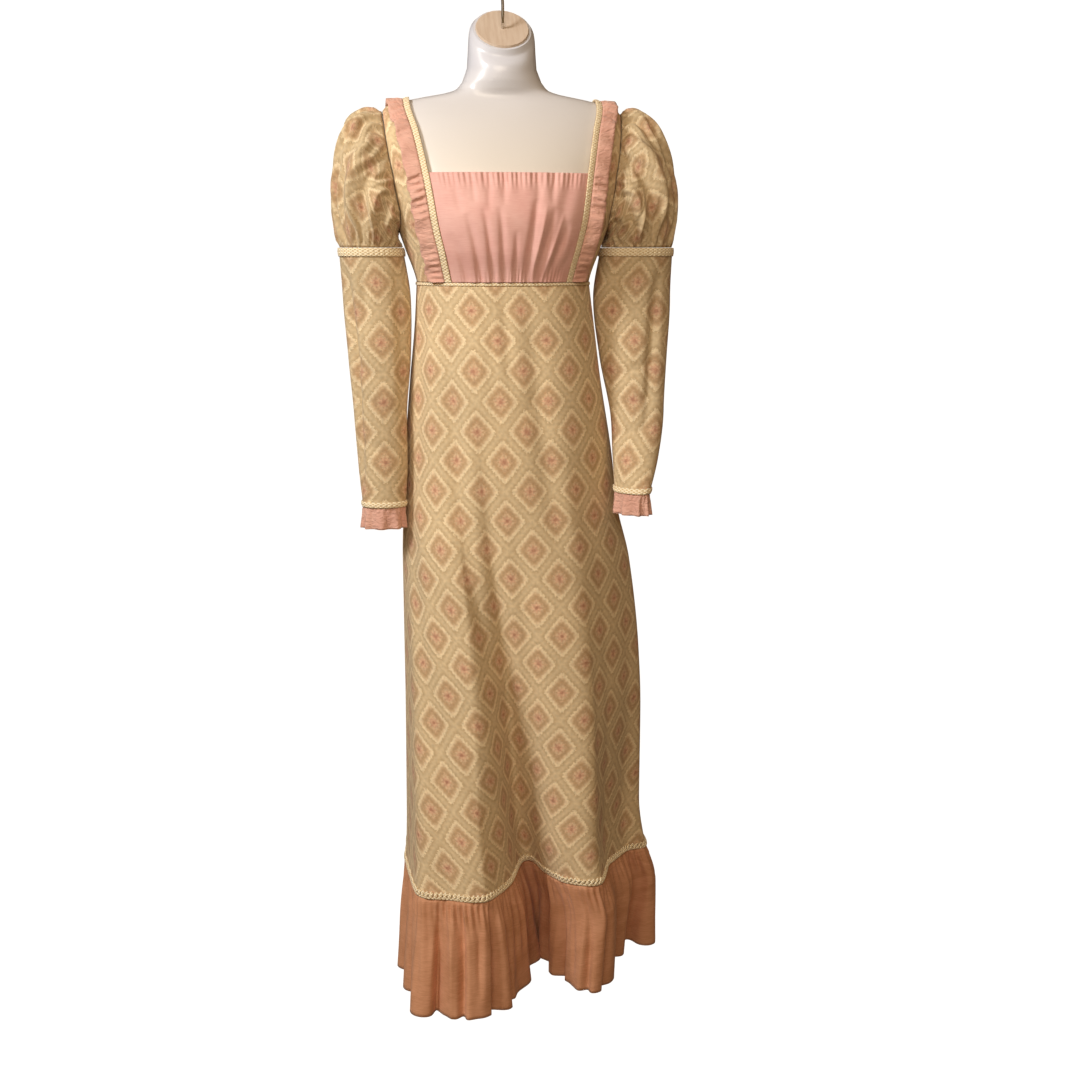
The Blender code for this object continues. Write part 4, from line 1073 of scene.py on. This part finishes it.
# %% Puffs
PUFF_CREASES = [
    (0.084, 1.392, 0.092, 1.190, 0.0140, 0.0150),
    (0.150, 1.395, 0.140, 1.190, 0.0110, 0.0130),
    (0.118, 1.385, 0.116, 1.195, 0.0070, -0.0040),
    (0.192, 1.370, 0.166, 1.190, 0.0070, 0.0060),
    (0.046, 1.360, 0.052, 1.200, 0.0080, 0.0070),
    (0.125, 1.300, 0.150, 1.185, 0.0055, 0.0050),
    (0.118, 1.395, 0.128, 1.310, 0.0050, 0.0045),
    (0.170, 1.395, 0.185, 1.300, 0.0055, 0.0045),
    (0.020, 1.370, 0.030, 1.205, 0.0080, 0.0050),
    (-0.030, 1.375, -0.025, 1.200, 0.0080, 0.0060),
    (-0.080, 1.385, -0.095, 1.200, 0.0080, 0.0080),
    (-0.130, 1.395, -0.120, 1.195, 0.0075, 0.0080),
    (-0.180, 1.370, -0.160, 1.190, 0.0075, 0.0060),
]
PUFF_WAVES, PUFF_PINCHES, PUFF_COLUMNS = 10, 27, 208
PUFF_ROUND, PUFF_LOW, PUFF_TALL = 0.52, 1.18, 0.22
PUFF_WAVE_DEEP, PUFF_PINCH_DEEP = 0.0045, 0.0034
angle = turns(PUFF_COLUMNS)
share = np.linspace(0, 1, 49)[:, None]
swell = np.sin(pi * share) ** 0.6
at_armhole = fade(share, 0.0, 0.06) * (1 - fade(share, 0.25, 0.6))
at_band = fade(share, 0.45, 0.8) * (1 - fade(share, 0.95, 1))
turn_share = np.linspace(0.0, 1.0, PUFF_COLUMNS + 1)
cut = on_grid(turn_share[None] * PUFF_ROUND, PUFF_LOW + PUFF_TALL * (1 - share))
from_top = cut[:, :-1] - [PUFF_ROUND, 0] * (turn_share[:-1, None] > 0.5)
deep = uneven(angle, 0.25, 3, 1) * (0.35 + 0.65 * (1 + np.cos(angle)) / 2)
bent = angle + 0.12 * np.sin(3 * pi * share + 2 * angle)
drawn = np.cos(PUFF_PINCHES * bent + 1.5 * np.sin(4 * angle)) * np.sin(5 * angle + 2.2)
pinches = PUFF_PINCH_DEEP * (at_armhole + at_band) * drawn * (0.5 + deep)
hand_made = creases(from_top, PUFF_CREASES) * swell
for name, side in SIDES.items():
    loop = armhole_loop(PUFF_COLUMNS) + [ON_SLEEVE, 0, 0]
    middle = puff_middle(SLEEVES[name], loop, angle, share[:, 0], PUFF_LEAVE[name])
    normal = square_to(middle)
    wave = np.cos(PUFF_WAVES * angle + 0.8 * np.sin(2 * angle + side))
    layer = PUFF_WAVE_DEEP * swell * wave * deep + pinches + hand_made + 0.002 * swell
    sew(
        "puff_" + name,
        lambda out: middle + normal * (layer + out)[..., None],
        cut,
        "gathered",
        ["cloth_side_front_" + name, "cloth_bodice_back_" + name],
        closed=True,
        side=side,
    )

# %% [markdown]
# The lower sleeve has one long crease where the empty tube has folded on itself, and a few short
# slanting ones at the elbow. The band above it and the lace at the wrist are cream. A pink cuff
# ruffle falls from the wrist.

# %% Lower sleeves, bands and cuffs
SLEEVE_CREASES = {
    "left": [
        (-0.050, 1.150, -0.038, 0.800, 0.0080, 0.0100),
        (0.030, 1.145, 0.034, 0.900, 0.0100, 0.0040),
        (-0.016, 1.150, -0.024, 1.040, 0.0075, 0.0045),
        (-0.060, 1.010, 0.010, 0.960, 0.008, 0.0030),
        (-0.050, 0.950, 0.030, 0.915, 0.007, 0.0028),
        (-0.055, 0.880, 0.020, 0.860, 0.007, 0.0024),
    ],
    "right": [
        (-0.036, 1.145, -0.020, 0.880, 0.0090, 0.0075),
        (0.026, 1.150, 0.036, 1.000, 0.0080, 0.0045),
        (-0.050, 1.000, 0.050, 0.965, 0.008, 0.0034),
        (-0.050, 0.945, 0.040, 0.925, 0.007, 0.0032),
        (-0.040, 0.900, 0.040, 0.880, 0.007, 0.0028),
    ],
}
CUFF_WAVES, CUFF_PINCHES, CUFF_ROUND = 9, 25, 0.30
SLEEVE_COLUMNS = 112
angle, fine_angle = turns(SLEEVE_COLUMNS), turns(3 * SLEEVE_COLUMNS)
turn_share = np.linspace(0, 1, SLEEVE_COLUMNS + 1)[None]


def sleeve_cut(sleeve, heights, angle):
    """Length round the sleeve at its own width, counted from the line that faces forward."""
    ring = sleeve_ring(sleeve, heights, np.append(angle, 0.0)[None], 0.0)
    run = run_along(ring, 1)
    around = run - run[:, -1:] * 0.25
    return on_grid(around, heights)


for name, side in SIDES.items():
    sleeve, wrist = SLEEVES[name], WRISTS[name]
    tube = np.linspace(wrist, BAND_TOP, 90)[:, None]
    tube_cut = sleeve_cut(sleeve, tube, angle)
    ends = fade(tube, wrist + 0.010, wrist + 0.03) * (1 - fade(tube, 1.12, BAND_BOTTOM - 0.004))
    moved = creases(tube_cut[:, :-1], SLEEVE_CREASES[name]) * ends
    sew(
        "lower_sleeve_" + name,
        lambda out: sleeve_ring(sleeve, tube, angle[None], moved + out),
        tube_cut,
        "hung",
        ["cloth_sleeve_band_" + name],
        closed=True,
        side=side,
    )
    strips = {"wrist_trim_": (wrist, wrist + WRIST_LACE, 5), "sleeve_band_": (BAND_BOTTOM, BAND_TOP, 7)}
    for strip, (low_edge, high_edge, rows) in strips.items():
        strip_share = np.linspace(0, 1, rows)[:, None]
        strip_heights = low_edge + (high_edge - low_edge) * strip_share
        strip_cut = sleeve_cut(sleeve, strip_heights, fine_angle) - [0, low_edge]
        bulge = 1 + beads(strip_cut[:, :-1, 0], strip_share, LACE_LOOP, BAND_BEAD) / LACE
        sew(
            strip + name,
            lambda out: sleeve_ring(sleeve, strip_heights, fine_angle[None], ON_SLEEVE + out * bulge),
            strip_cut,
            "draped",
            ["cloth_lower_sleeve_" + name],
            LACE,
            closed=True,
            side=side,
        )
    falls = np.linspace(wrist - CUFF_DEEP, wrist - SEAM_GAP, 13)[:, None]
    drop = (wrist - falls) / CUFF_DEEP
    wave = waves(angle, CUFF_WAVES, 0.7, 2)
    pinch = waves(angle, CUFF_PINCHES, 1, 5) * near(drop, 0.12, 0.15) * fade(drop, 0, 0.08)
    half_folds = waves(angle, 2 * CUFF_WAVES, 1.7, 3) * uneven(angle, 0.4, 2, 1)
    cuff_layer = 0.0012 * drop + (0.0003 + 0.0030 * drop) * wave
    cuff_layer = cuff_layer + 0.0012 * drop**0.5 * half_folds + 0.0008 * pinch

    def cuff_surface(out):
        """The wrist's ring carried straight down, with the ruffle's own folds."""
        points = sleeve_ring(sleeve, np.full((len(falls), 1), wrist), angle[None], cuff_layer + out)
        points[..., 2] = falls
        return points

    sew(
        "cuff_ruffle_" + name,
        cuff_surface,
        on_grid(turn_share * CUFF_ROUND, falls),
        "gathered",
        ["cloth_wrist_trim_" + name],
        LACE,
        closed=True,
        side=side,
    )

# %% [markdown]
# Each piece's cut is printed: width and length in millimetres, area in square centimetres. A tape
# narrower than a centimetre belongs to the panel that it is sewn on; the loop does nothing more
# with it.

# %% The cuts
NARROW = 0.010
for piece, flat, held, rests_on, area in sewn:
    print(f"{piece.name}: {flat[0] * 1000:.0f} x {flat[1] * 1000:.0f} mm, {area * 1e4:.0f} cm2")
    if min(flat) < NARROW:
        continue

# %% [markdown]
# ## The cloths and the plastic
# Every finish starts from what the real one is. One helper adds a node, one feeds the shader, and
# one turns the hex colours that a painter would pick into the linear values that Blender mixes.

# %% Colour and nodes
def linear(code):
    """sRGB hex to linear: c / 12.92 up to 0.04045, and ((c + 0.055) / 1.055)^2.4 above it."""
    c = np.array([int(code[i : i + 2], 16) for i in (1, 3, 5)]) / 255
    c = np.where(c <= 0.04045, c / 12.92, ((c + 0.055) / 1.055) ** 2.4)
    return (*c.tolist(), 1.0)


def finish(name, **sockets):
    """A new material with one Principled shader, and the shader's own sockets set."""
    material = bpy.data.materials.new(name)
    material.use_nodes = True
    shader = material.node_tree.nodes["Principled BSDF"]
    for socket, value in sockets.items():
        shader.inputs[socket.replace("_", " ")].default_value = value
    return material, shader


def add(material, kind, links=None, output=0, **settings):
    """Adds one node, sets it, feeds its inputs with values or sockets, and gives one output back."""
    node = material.node_tree.nodes.new("ShaderNode" + kind)
    for key, value in settings.items():
        setattr(node, key, value)
    for key, value in (links or {}).items():
        if isinstance(value, bpy.types.NodeSocket):
            material.node_tree.links.new(value, node.inputs[key])
        else:
            node.inputs[key].default_value = value
    return node.outputs[output]


def feed(shader, **sockets):
    """Links outputs of nodes to the shader's own inputs."""
    for socket, value in sockets.items():
        shader.id_data.links.new(value, shader.inputs[socket.replace("_", " ")])


# A mixed colour comes out of a Mix node's third output, and a smooth step is a way to map a range.
MIXED = {"output": 2, "data_type": "RGBA"}
SMOOTH = {"interpolation_type": "SMOOTHSTEP"}

# %% [markdown]
# ### Printed cotton
# The print is a common one: a lattice of tall diamonds, drawn as a beige band between two cream
# lines, with a small floret in each diamond. It is charted in the flat cut. Two slanting counts,
# x + y and x - y, each grow by one from one line of the lattice to the next. What is left after
# the whole number says how near the lines are, and both together say where the floret's middle is.
# Washed cotton is matt, with a faint sheen from its loose fibres.

# %% The lattice print
DIAMOND_WIDE, DIAMOND_TALL = 0.0735, 0.0890
FIRST_FLORET = (0.006, 1.0747)
BEADS, BEAD_SHIFT, CORNER_ROUND = 8, 0.010, 0.16
LINE_COLOURS = [
    (0.0, "#dfc9a2"),
    (0.045, "#d8c199"),
    (0.095, "#cbb189"),
    (0.130, "#efdbb4"),
    (0.165, "#f2dcb6"),
    (0.205, "#dcc098"),
    (0.260, "#c3a47d"),
    (0.315, "#ccab85"),
    (0.370, "#e0c39d"),
    (0.430, "#d0ab88"),
    (0.5, "#cfa684"),
]


def lattice_cotton(name, floret=FIRST_FLORET, wear_and_shade_low=0.80, wear_and_shade_high=1.15):
    """The print, with one floret's middle at a place of the cut; wear and painted shade set it this dark
    and this light.
    """
    material, shader = finish(name, Roughness=0.88, IOR=1.5, Sheen_Weight=0.15, Sheen_Roughness=0.5)
    cut = add(material, "UVMap", uv_map="cut")
    shift = (-floret[0] / DIAMOND_WIDE, 0.5 - floret[1] / DIAMOND_TALL, 0)
    scale = (1 / DIAMOND_WIDE, 1 / DIAMOND_TALL, 1)
    place = add(material, "Mapping", {"Vector": cut, "Location": shift, "Scale": scale})
    x, y = (add(material, "SeparateXYZ", {"Vector": place}, axis) for axis in range(2))
    rising = add(material, "Math", {0: x, 1: y}, operation="ADD")
    falling = add(material, "Math", {0: x, 1: y}, operation="SUBTRACT")
    offsets, edges = [], []
    for count, other in ((rising, falling), (falling, rising)):
        rest = add(material, "Math", {0: count}, operation="FRACT")
        offset = add(material, "Math", {0: rest, 1: 0.5}, operation="SUBTRACT")
        far = add(material, "Math", {0: offset}, operation="ABSOLUTE")
        # Beads along each line: the line's distance rocks with the other count.
        turned = add(material, "Math", {0: other, 1: 2 * pi * BEADS}, operation="MULTIPLY")
        bead = add(material, "Math", {0: turned}, operation="COSINE")
        offsets.append(offset)
        edges.append(add(material, "Math", {0: bead, 1: BEAD_SHIFT, 2: far}, operation="MULTIPLY_ADD"))
    p, q = offsets
    nearest = add(material, "Math", {0: edges[0], 1: edges[1], 2: CORNER_ROUND}, operation="SMOOTH_MAX")
    distance = add(material, "Math", {0: 0.5, 1: nearest}, operation="SUBTRACT")
    wobble = add(material, "TexNoise", {"Vector": cut, "Scale": 420.0, "Detail": 2.0})
    distance = add(material, "Math", {0: wobble, 1: 0.15, 2: distance}, operation="MULTIPLY_ADD")
    distance = add(material, "Math", {0: distance, 1: 0.075}, operation="SUBTRACT")
    ramp = add(material, "ValToRGB", {"Fac": distance})
    colours = ramp.node.color_ramp
    for _ in LINE_COLOURS[1:-1]:
        colours.elements.new(0.5)
    for element, (stop, code) in zip(colours.elements, LINE_COLOURS):
        element.position, element.color = stop, linear(code)
    # The floret: millimetres across and up from the diamond's middle.
    total = add(material, "Math", {0: p, 1: q}, operation="ADD")
    apart = add(material, "Math", {0: p, 1: q}, operation="SUBTRACT")
    right = add(material, "Math", {0: total, 1: DIAMOND_WIDE * 500}, operation="MULTIPLY")
    up = add(material, "Math", {0: apart, 1: DIAMOND_TALL * 500}, operation="MULTIPLY")
    spot = add(material, "CombineXYZ", {0: right, 1: up})
    radius = add(material, "VectorMath", {0: spot}, 1, operation="LENGTH")
    turn = add(material, "Math", {0: up, 1: right}, operation="ARCTAN2")
    turned = add(material, "Math", {0: turn, 1: 8.0}, operation="MULTIPLY")
    petals = add(material, "Math", {0: turned}, operation="COSINE")
    petal_edge = add(material, "Math", {0: petals, 1: 1.8, 2: 7.0}, operation="MULTIPLY_ADD")
    into = add(material, "Math", {0: petal_edge, 1: radius}, operation="SUBTRACT")
    into = add(material, "Math", {0: wobble, 1: 6.0, 2: into}, operation="MULTIPLY_ADD")
    petal = add(material, "MapRange", {"Value": into, "From Min": 2.0, "From Max": 4.4}, **SMOOTH)
    heart = add(material, "MapRange", {"Value": radius, "From Min": 3.4, "From Max": 1.6}, **SMOOTH)
    # A ring of small dots and the leaves between the petals, darker than the ground.
    rings_at = add(material, "Math", {0: radius, 1: 0.62}, operation="MULTIPLY")
    dots = add(material, "Math", {0: rings_at}, operation="SINE")
    gaps = add(material, "Math", {0: petals, 1: -1.0}, operation="MULTIPLY")
    dots = add(material, "Math", {0: dots, 1: gaps}, operation="MULTIPLY")
    blobs = add(material, "TexNoise", {"Vector": cut, "Scale": 210.0, "Detail": 3.0, "Roughness": 0.6})
    dots = add(material, "Math", {0: blobs, 1: 3.0, 2: dots}, operation="MULTIPLY_ADD")
    leaf_range = {"Value": dots, "From Min": 1.7, "From Max": 2.5, "To Max": 0.55}
    leaf = add(material, "MapRange", leaf_range, **SMOOTH)
    inside = add(material, "MapRange", {"Value": distance, "From Min": 0.25, "From Max": 0.30}, **SMOOTH)
    leaf = add(material, "Math", {0: leaf, 1: inside}, operation="MULTIPLY")
    pinkness = add(material, "MapRange", {"Value": blobs, "From Min": 0.35, "From Max": 0.65})
    petal_mix = {"Factor": pinkness, "A": linear("#c9947a"), "B": linear("#e6bf9c")}
    petal_colour = add(material, "Mix", petal_mix, **MIXED)
    petal = add(material, "Math", {0: petal, 1: 0.8}, operation="MULTIPLY")
    heart = add(material, "Math", {0: heart, 1: 0.7}, operation="MULTIPLY")
    colour = ramp
    for part, laid in ((leaf, linear("#b89167")), (petal, petal_colour), (heart, linear("#b98368"))):
        colour = add(material, "Mix", {"Factor": part, "A": colour, "B": laid}, **MIXED)
    # Washed and aged cotton: the print breaks up into small light and dark places. A lower range darkens
    # all of it as painted shade, as on the sleeves.
    wear_and_shade_range = {"Value": blobs, "From Min": 0.25, "From Max": 0.75}
    wear_and_shade = add(material, "MapRange", {**wear_and_shade_range, "To Min": wear_and_shade_low, "To Max": wear_and_shade_high})
    clouds = add(material, "TexNoise", {"Vector": cut, "Scale": 9.0, "Detail": 2.0})
    faded_range = {"Value": clouds, "From Min": 0.3, "From Max": 0.7, "To Min": 0.94, "To Max": 1.05}
    faded = add(material, "MapRange", faded_range)
    shade = add(material, "Math", {0: wear_and_shade, 1: faded}, operation="MULTIPLY")
    colour = add(material, "VectorMath", {0: colour, "Scale": shade}, operation="SCALE")
    # Threads are 0.4 mm apart, too fine to show: drawn as a 1.2 mm slub.
    slub = add(material, "TexNoise", {"Vector": cut, "Scale": 800.0, "Detail": 1.0})
    bump = add(material, "Bump", {"Strength": 0.25, "Distance": 0.0004, "Height": slub})
    feed(shader, Base_Color=colour, Normal=bump)
    return material


# %% [markdown]
# ### Pink cotton
# The plain cotton has slightly uneven threads across the cloth, which show as short streaks, and a
# faint sheen where it is stretched smooth.

# %% Pink cotton
def pink_cotton(name, main, deep, sheen=0.35, crinkle=0.0):
    """Streaks and clouds between two pinks; `crinkle` presses in short creases about 5 mm apart."""
    material, shader = finish(name, Roughness=0.78, IOR=1.5, Sheen_Weight=sheen, Sheen_Roughness=0.4)
    cut = add(material, "UVMap", uv_map="cut")
    streak = add(material, "Mapping", {"Vector": cut, "Scale": (60.0, 700.0, 1.0)})
    threads = add(material, "TexNoise", {"Vector": streak, "Scale": 1.0, "Detail": 3.0, "Roughness": 0.6})
    clouds = add(material, "TexNoise", {"Vector": cut, "Scale": 22.0, "Detail": 3.0})
    mixed = add(material, "Math", {0: threads, 1: clouds}, operation="ADD")
    share = add(material, "MapRange", {"Value": mixed, "From Min": 0.75, "From Max": 1.25})
    colour = add(material, "Mix", {"Factor": share, "A": linear(deep), "B": linear(main)}, **MIXED)
    bump = add(material, "Bump", {"Strength": 0.22, "Distance": 0.0005, "Height": threads})
    # Gathered by hand, a narrow frill is pressed into short creases.
    pressed = add(material, "Mapping", {"Vector": cut, "Scale": (70.0, 200.0, 1.0)})
    creased = add(material, "TexNoise", {"Vector": pressed, "Scale": 1.0, "Detail": 2.0, "Distortion": 0.8})
    pressed_in = {"Strength": crinkle, "Distance": 0.0030, "Height": creased, "Normal": bump}
    feed(shader, Base_Color=colour, Normal=add(material, "Bump", pressed_in))
    return material


# %% [markdown]
# ### Lace and braid
# The trims are cream cotton, worked in small loops. Sine waves along and across the strip give
# the loops their height, and the holes between them are painted darker, for the cloth below and for shade.

# %% Cream lace
def cream_lace(name, pitch, rows, light="#fff2d3", hole_and_shade="#d6b986"):
    """Loops of height sin(2 * pi * u / pitch) * sin(2 * pi * v / rows), painted darker where they are low:
    the cloth below, and shade.
    """
    material, shader = finish(name, Roughness=0.85, IOR=1.5, Sheen_Weight=0.3)
    cut = add(material, "UVMap", uv_map="cut")
    ways = []
    for axis, step in enumerate((pitch, rows)):
        run = add(material, "SeparateXYZ", {"Vector": cut}, axis)
        turned = add(material, "Math", {0: run, 1: 2 * pi / step}, operation="MULTIPLY")
        ways.append(add(material, "Math", {0: turned}, operation="SINE"))
    loops = add(material, "Math", {0: ways[0], 1: ways[1]}, operation="MULTIPLY")
    grain = add(material, "TexNoise", {"Vector": cut, "Scale": 900.0, "Detail": 2.0})
    height = add(material, "Math", {0: grain, 1: 0.8, 2: loops}, operation="MULTIPLY_ADD")
    share = add(material, "MapRange", {"Value": height, "From Min": -0.4, "From Max": 0.7})
    # Low places between the loops are painted darker: the cloth showing below, and shade.
    colour = add(material, "Mix", {"Factor": share, "A": linear(hole_and_shade), "B": linear(light)}, **MIXED)
    bump = add(material, "Bump", {"Strength": 0.5, "Distance": 0.0009, "Height": height})
    feed(shader, Base_Color=colour, Normal=bump)
    return material


# %% [markdown]
# ### Form, cap, hook and zip
# The form is glossy moulded plastic: cool white, painted darker and cooler up the neck as shade, and
# lighter and warmer lower down. The cap is matt
# board with a faint wood-like figure. The hook is bright wire, and the slider and tab are duller
# metal, rubbed in places.

# %% Hard finishes
def moulded_plastic():
    """Two cool whites in soft clouds, painted as shade up the neck, lighter and warmer lower down, under a
    thin gloss that shows ripples.
    """
    material, shader = finish(
        "moulded_plastic", Roughness=0.32, IOR=1.46, Coat_Weight=0.25, Coat_Roughness=0.12
    )
    place = add(material, "TexCoord", output=3)
    clouds = add(material, "TexNoise", {"Vector": place, "Scale": 7.0, "Detail": 2.0})
    height = add(material, "SeparateXYZ", {"Vector": place}, 2)
    # Painted shade: the neck's cooler, darker whites; the chest below is lighter and warmer.
    warm = add(material, "MapRange", {"Value": height, "From Min": -0.18, "From Max": -0.36})
    cool = {"Factor": clouds, "A": linear("#dfe2ec"), "B": linear("#d5d7e0")}
    shaded_by_height = {"Factor": warm, "A": add(material, "Mix", cool, **MIXED), "B": linear("#eee8de")}
    ripple = add(material, "TexNoise", {"Vector": place, "Scale": 35.0, "Detail": 1.0})
    bump = add(material, "Bump", {"Strength": 0.08, "Distance": 0.002, "Height": ripple})
    feed(shader, Base_Color=add(material, "Mix", shaded_by_height, **MIXED), Normal=bump)
    return material


def cap_board():
    """Streaks across the cap in two beiges, with no shine."""
    material, shader = finish("cap_board", Roughness=0.6, IOR=1.45)
    place = add(material, "TexCoord", output=3)
    grain = add(material, "Mapping", {"Vector": place, "Scale": (260.0, 30.0, 30.0)})
    streaks = add(material, "TexNoise", {"Vector": grain, "Scale": 1.0, "Detail": 3.0})
    figure = {"Factor": streaks, "A": linear("#c3aa92"), "B": linear("#e2d3c3")}
    feed(shader, Base_Color=add(material, "Mix", figure, **MIXED))
    return material


def bright_metal(name, colour, roughness):
    """Metal of one colour; fine clouds make its roughness 0.8 to 1.3 times what is asked."""
    material, shader = finish(name, Roughness=roughness, Metallic=1.0, Base_Color=linear(colour))
    place = add(material, "TexCoord", output=3)
    rubbed = add(material, "TexNoise", {"Vector": place, "Scale": 600.0, "Detail": 2.0})
    range_of = {"Value": rubbed, "To Min": roughness * 0.8, "To Max": roughness * 1.3}
    feed(shader, Roughness=add(material, "MapRange", range_of))
    return material


def zip_tape_cotton():
    """Slanting ribs of a twill tape in two beiges."""
    material, shader = finish("zip_tape_cotton", Roughness=0.85, Sheen_Weight=0.2)
    place = add(material, "TexCoord", output=3)
    slant = {"Vector": place, "Rotation": (0, radians(35), 0), "Scale": (1500.0, 1.0, 300.0)}
    twill = add(material, "Mapping", slant)
    ribs = add(material, "TexNoise", {"Vector": twill, "Scale": 1.0, "Detail": 1.0})
    shades = {"Factor": ribs, "A": linear("#b79a74"), "B": linear("#d6bf99")}
    feed(shader, Base_Color=add(material, "Mix", shades, **MIXED))
    return material


# %% [markdown]
# ### Which finish each piece gets
# One print is laid three times: a floret stands beside the skirt's centre line, and one on the
# waist seam's height in the bodice and in the sleeves, where the print is painted darker as shade. The
# pink is lighter on the bodice, painted darker and browner as shade on the flounce, and pressed into
# creases on the ruffles.

# %% Dressing every piece
lattice = lattice_cotton("lattice_cotton_skirt")
lattice_top = lattice_cotton("lattice_cotton_top", (0.0, 1.115))
# The sleeves' print is set darker, as painted shade under the puffs.
lattice_sleeve_shaded = lattice_cotton("lattice_cotton_sleeve_painted_shade", (0.0, 1.115), 0.70, 1.06)
pink = pink_cotton("pink_cotton_bodice", "#efc0b7", "#e4aea5")
# The flounce's pink is painted darker and browner, as shade low on the dress.
pink_flounce_shaded = pink_cotton("pink_cotton_flounce_painted_shade", "#dba27f", "#c08863", 0.12)
pink_ruffle = pink_cotton("pink_cotton_ruffle", "#e9baa8", "#d8a391", crinkle=0.9)
lace = cream_lace("cream_lace_wide", LACE_LOOP, 0.0045)
braid = cream_lace("cream_braid", BRAID_LOOP, 0.0046)
FINISHES = {
    "cloth_skirt": lattice,
    "cloth_side": lattice_top,
    "cloth_bodice_back": lattice_top,
    "cloth_puff": lattice_sleeve_shaded,
    "cloth_lower": lattice_sleeve_shaded,
    "cloth_bodice_front": pink,
    "cloth_ruffle": pink_ruffle,
    "cloth_cuff": pink_ruffle,
    "cloth_flounce_front": pink_flounce_shaded,
    "cloth_flounce_back": pink_flounce_shaded,
    "cloth_flounce_trim": braid,
    "cloth_waist": braid,
    "cloth_neck": lace,
    "cloth_wrist": lace,
    "cloth_sleeve": lace,
    "form_skin": moulded_plastic(),
}
for piece in bpy.data.objects:
    for start, material in FINISHES.items():
        if piece.name.startswith(start):
            piece.data.materials.clear()
            piece.data.materials.append(material)
NODE_FINISHES = {
    "neck_cap": cap_board(),
    "hook": bright_metal("bright_wire", "#d8d6d2", 0.18),
    "zip_slider": bright_metal("slider_metal", "#b9a98a", 0.35),
    "zip_pull_tab": bright_metal("tab_metal", "#bfae8e", 0.3),
    "zip_tape": zip_tape_cotton(),
}
zip_teeth.data.materials.append(bright_metal("tooth_metal", "#cdbb95", 0.32))
for node, material in NODE_FINISHES.items():
    for slot in frame["nodes"][node].material_slots:
        slot.material = material
print("finishes:", len(bpy.data.materials))

# %% [markdown]
# ## Room, light and camera
# A wide pale floor curves up into a backdrop, so nothing but white shows behind the dress. A soft
# key light stands above and to the left, as the shading in the photograph has it. A broad, warmer
# one fills in from the front, and the room adds a little warm light all round.

# %% Floor and backdrop
FLOOR = -HOOK_SEAT - 0.35
WALL_AT, BEND, HALF_WIDE, WALL_TOP, NEAR_EDGE = 2.6, 2.0, 9.0, 6.0, -6.0


def backdrop():
    """A flat floor that turns up through a quarter circle into a wall, carried across in x."""
    turn = np.linspace(0, pi / 2, 24)
    y = np.concatenate([[NEAR_EDGE, WALL_AT], WALL_AT + BEND * np.sin(turn), [WALL_AT + BEND]])
    z = np.concatenate([[0.0, 0.0], BEND * (1 - np.cos(turn)), [WALL_TOP]]) + FLOOR
    points = on_grid(np.array([[-HALF_WIDE], [HALF_WIDE]]), y[None], z[None])
    n = len(y)
    faces = [(i, n + i, n + i + 1, i + 1) for i in range(n - 1)]
    sweep = new_piece("backdrop", points.reshape(-1, 3), faces)
    # The camera sees white paper, and the dress gets only what light the paper would throw back.
    material, shader = finish(
        "white_paper", Roughness=0.9, Emission_Strength=1.0, Base_Color=linear("#8c8276")
    )
    seen = add(material, "LightPath")
    glow = {"Factor": seen, "A": linear("#000000"), "B": linear("#ffffff")}
    feed(shader, Emission_Color=add(material, "Mix", glow, **MIXED))
    sweep.data.materials.append(material)


backdrop()


# %% Lights
def area_light(name, place, aim, size, power, colour):
    """A round lamp of this width in metres and power in watts, turned to face a point."""
    data = bpy.data.lights.new(name, "AREA")
    data.shape, data.size, data.energy, data.color = "DISK", size, power, linear(colour)[:3]
    lamp = bpy.data.objects.new(name, data)
    lamp.location = place
    away = np.array(place, float) - np.array(aim, float)
    tilt = np.arctan2(np.hypot(away[0], away[1]), away[2])
    lamp.rotation_euler = (tilt, 0, np.arctan2(away[0], -away[1]))
    bpy.context.scene.collection.objects.link(lamp)


area_light("key", (-2.02, -1.24, 0.85), (0, 0, -0.45), 0.7, 50, "#fffefc")
area_light("fill", (-0.5, -2.72, 0.7), (0, 0, -0.5), 1.8, 40, "#ffefda")
world = bpy.data.worlds.new("studio")
world.use_nodes = True
room = world.node_tree.nodes["Background"].inputs
room["Color"].default_value, room["Strength"].default_value = linear("#e8b878"), 0.25
bpy.context.scene.world = world
bpy.context.scene.view_settings.view_transform = "Standard"

# %% [markdown]
# The camera stands 2.35 m away, a little above the waist seam, and looks slightly down. The
# outline in the photograph gives both when it is read back. A shift aside puts the dress where
# the photograph has it.

# %% Camera
AZIMUTH, PITCH = radians(-8), radians(10.9)
DISTANCE, EYE_HEIGHT = 2.35, 1.161
LENS, SENSOR, FRAME_PIXELS, DRESS_CENTRE = 50.0, 36.0, 1080, 504
forward = np.array([-np.sin(AZIMUTH), np.cos(AZIMUTH), 0])
rightward = np.array([np.cos(AZIMUTH), np.sin(AZIMUTH), 0])
pixels_per_unit = FRAME_PIXELS * LENS / SENSOR
aside = (FRAME_PIXELS / 2 - DRESS_CENTRE) * DISTANCE / np.cos(PITCH) / pixels_per_unit
eye = -forward * DISTANCE + rightward * aside + [0, 0, EYE_HEIGHT - HOOK_SEAT]
camera = bpy.data.objects.new("camera", bpy.data.cameras.new("camera"))
camera.data.lens, camera.data.sensor_width = LENS, SENSOR
camera.location = eye
camera.rotation_euler = (pi / 2 - PITCH, 0, AZIMUTH)
bpy.context.scene.collection.objects.link(camera)
bpy.context.scene.camera = camera
print("camera at", eye.round(3).tolist())
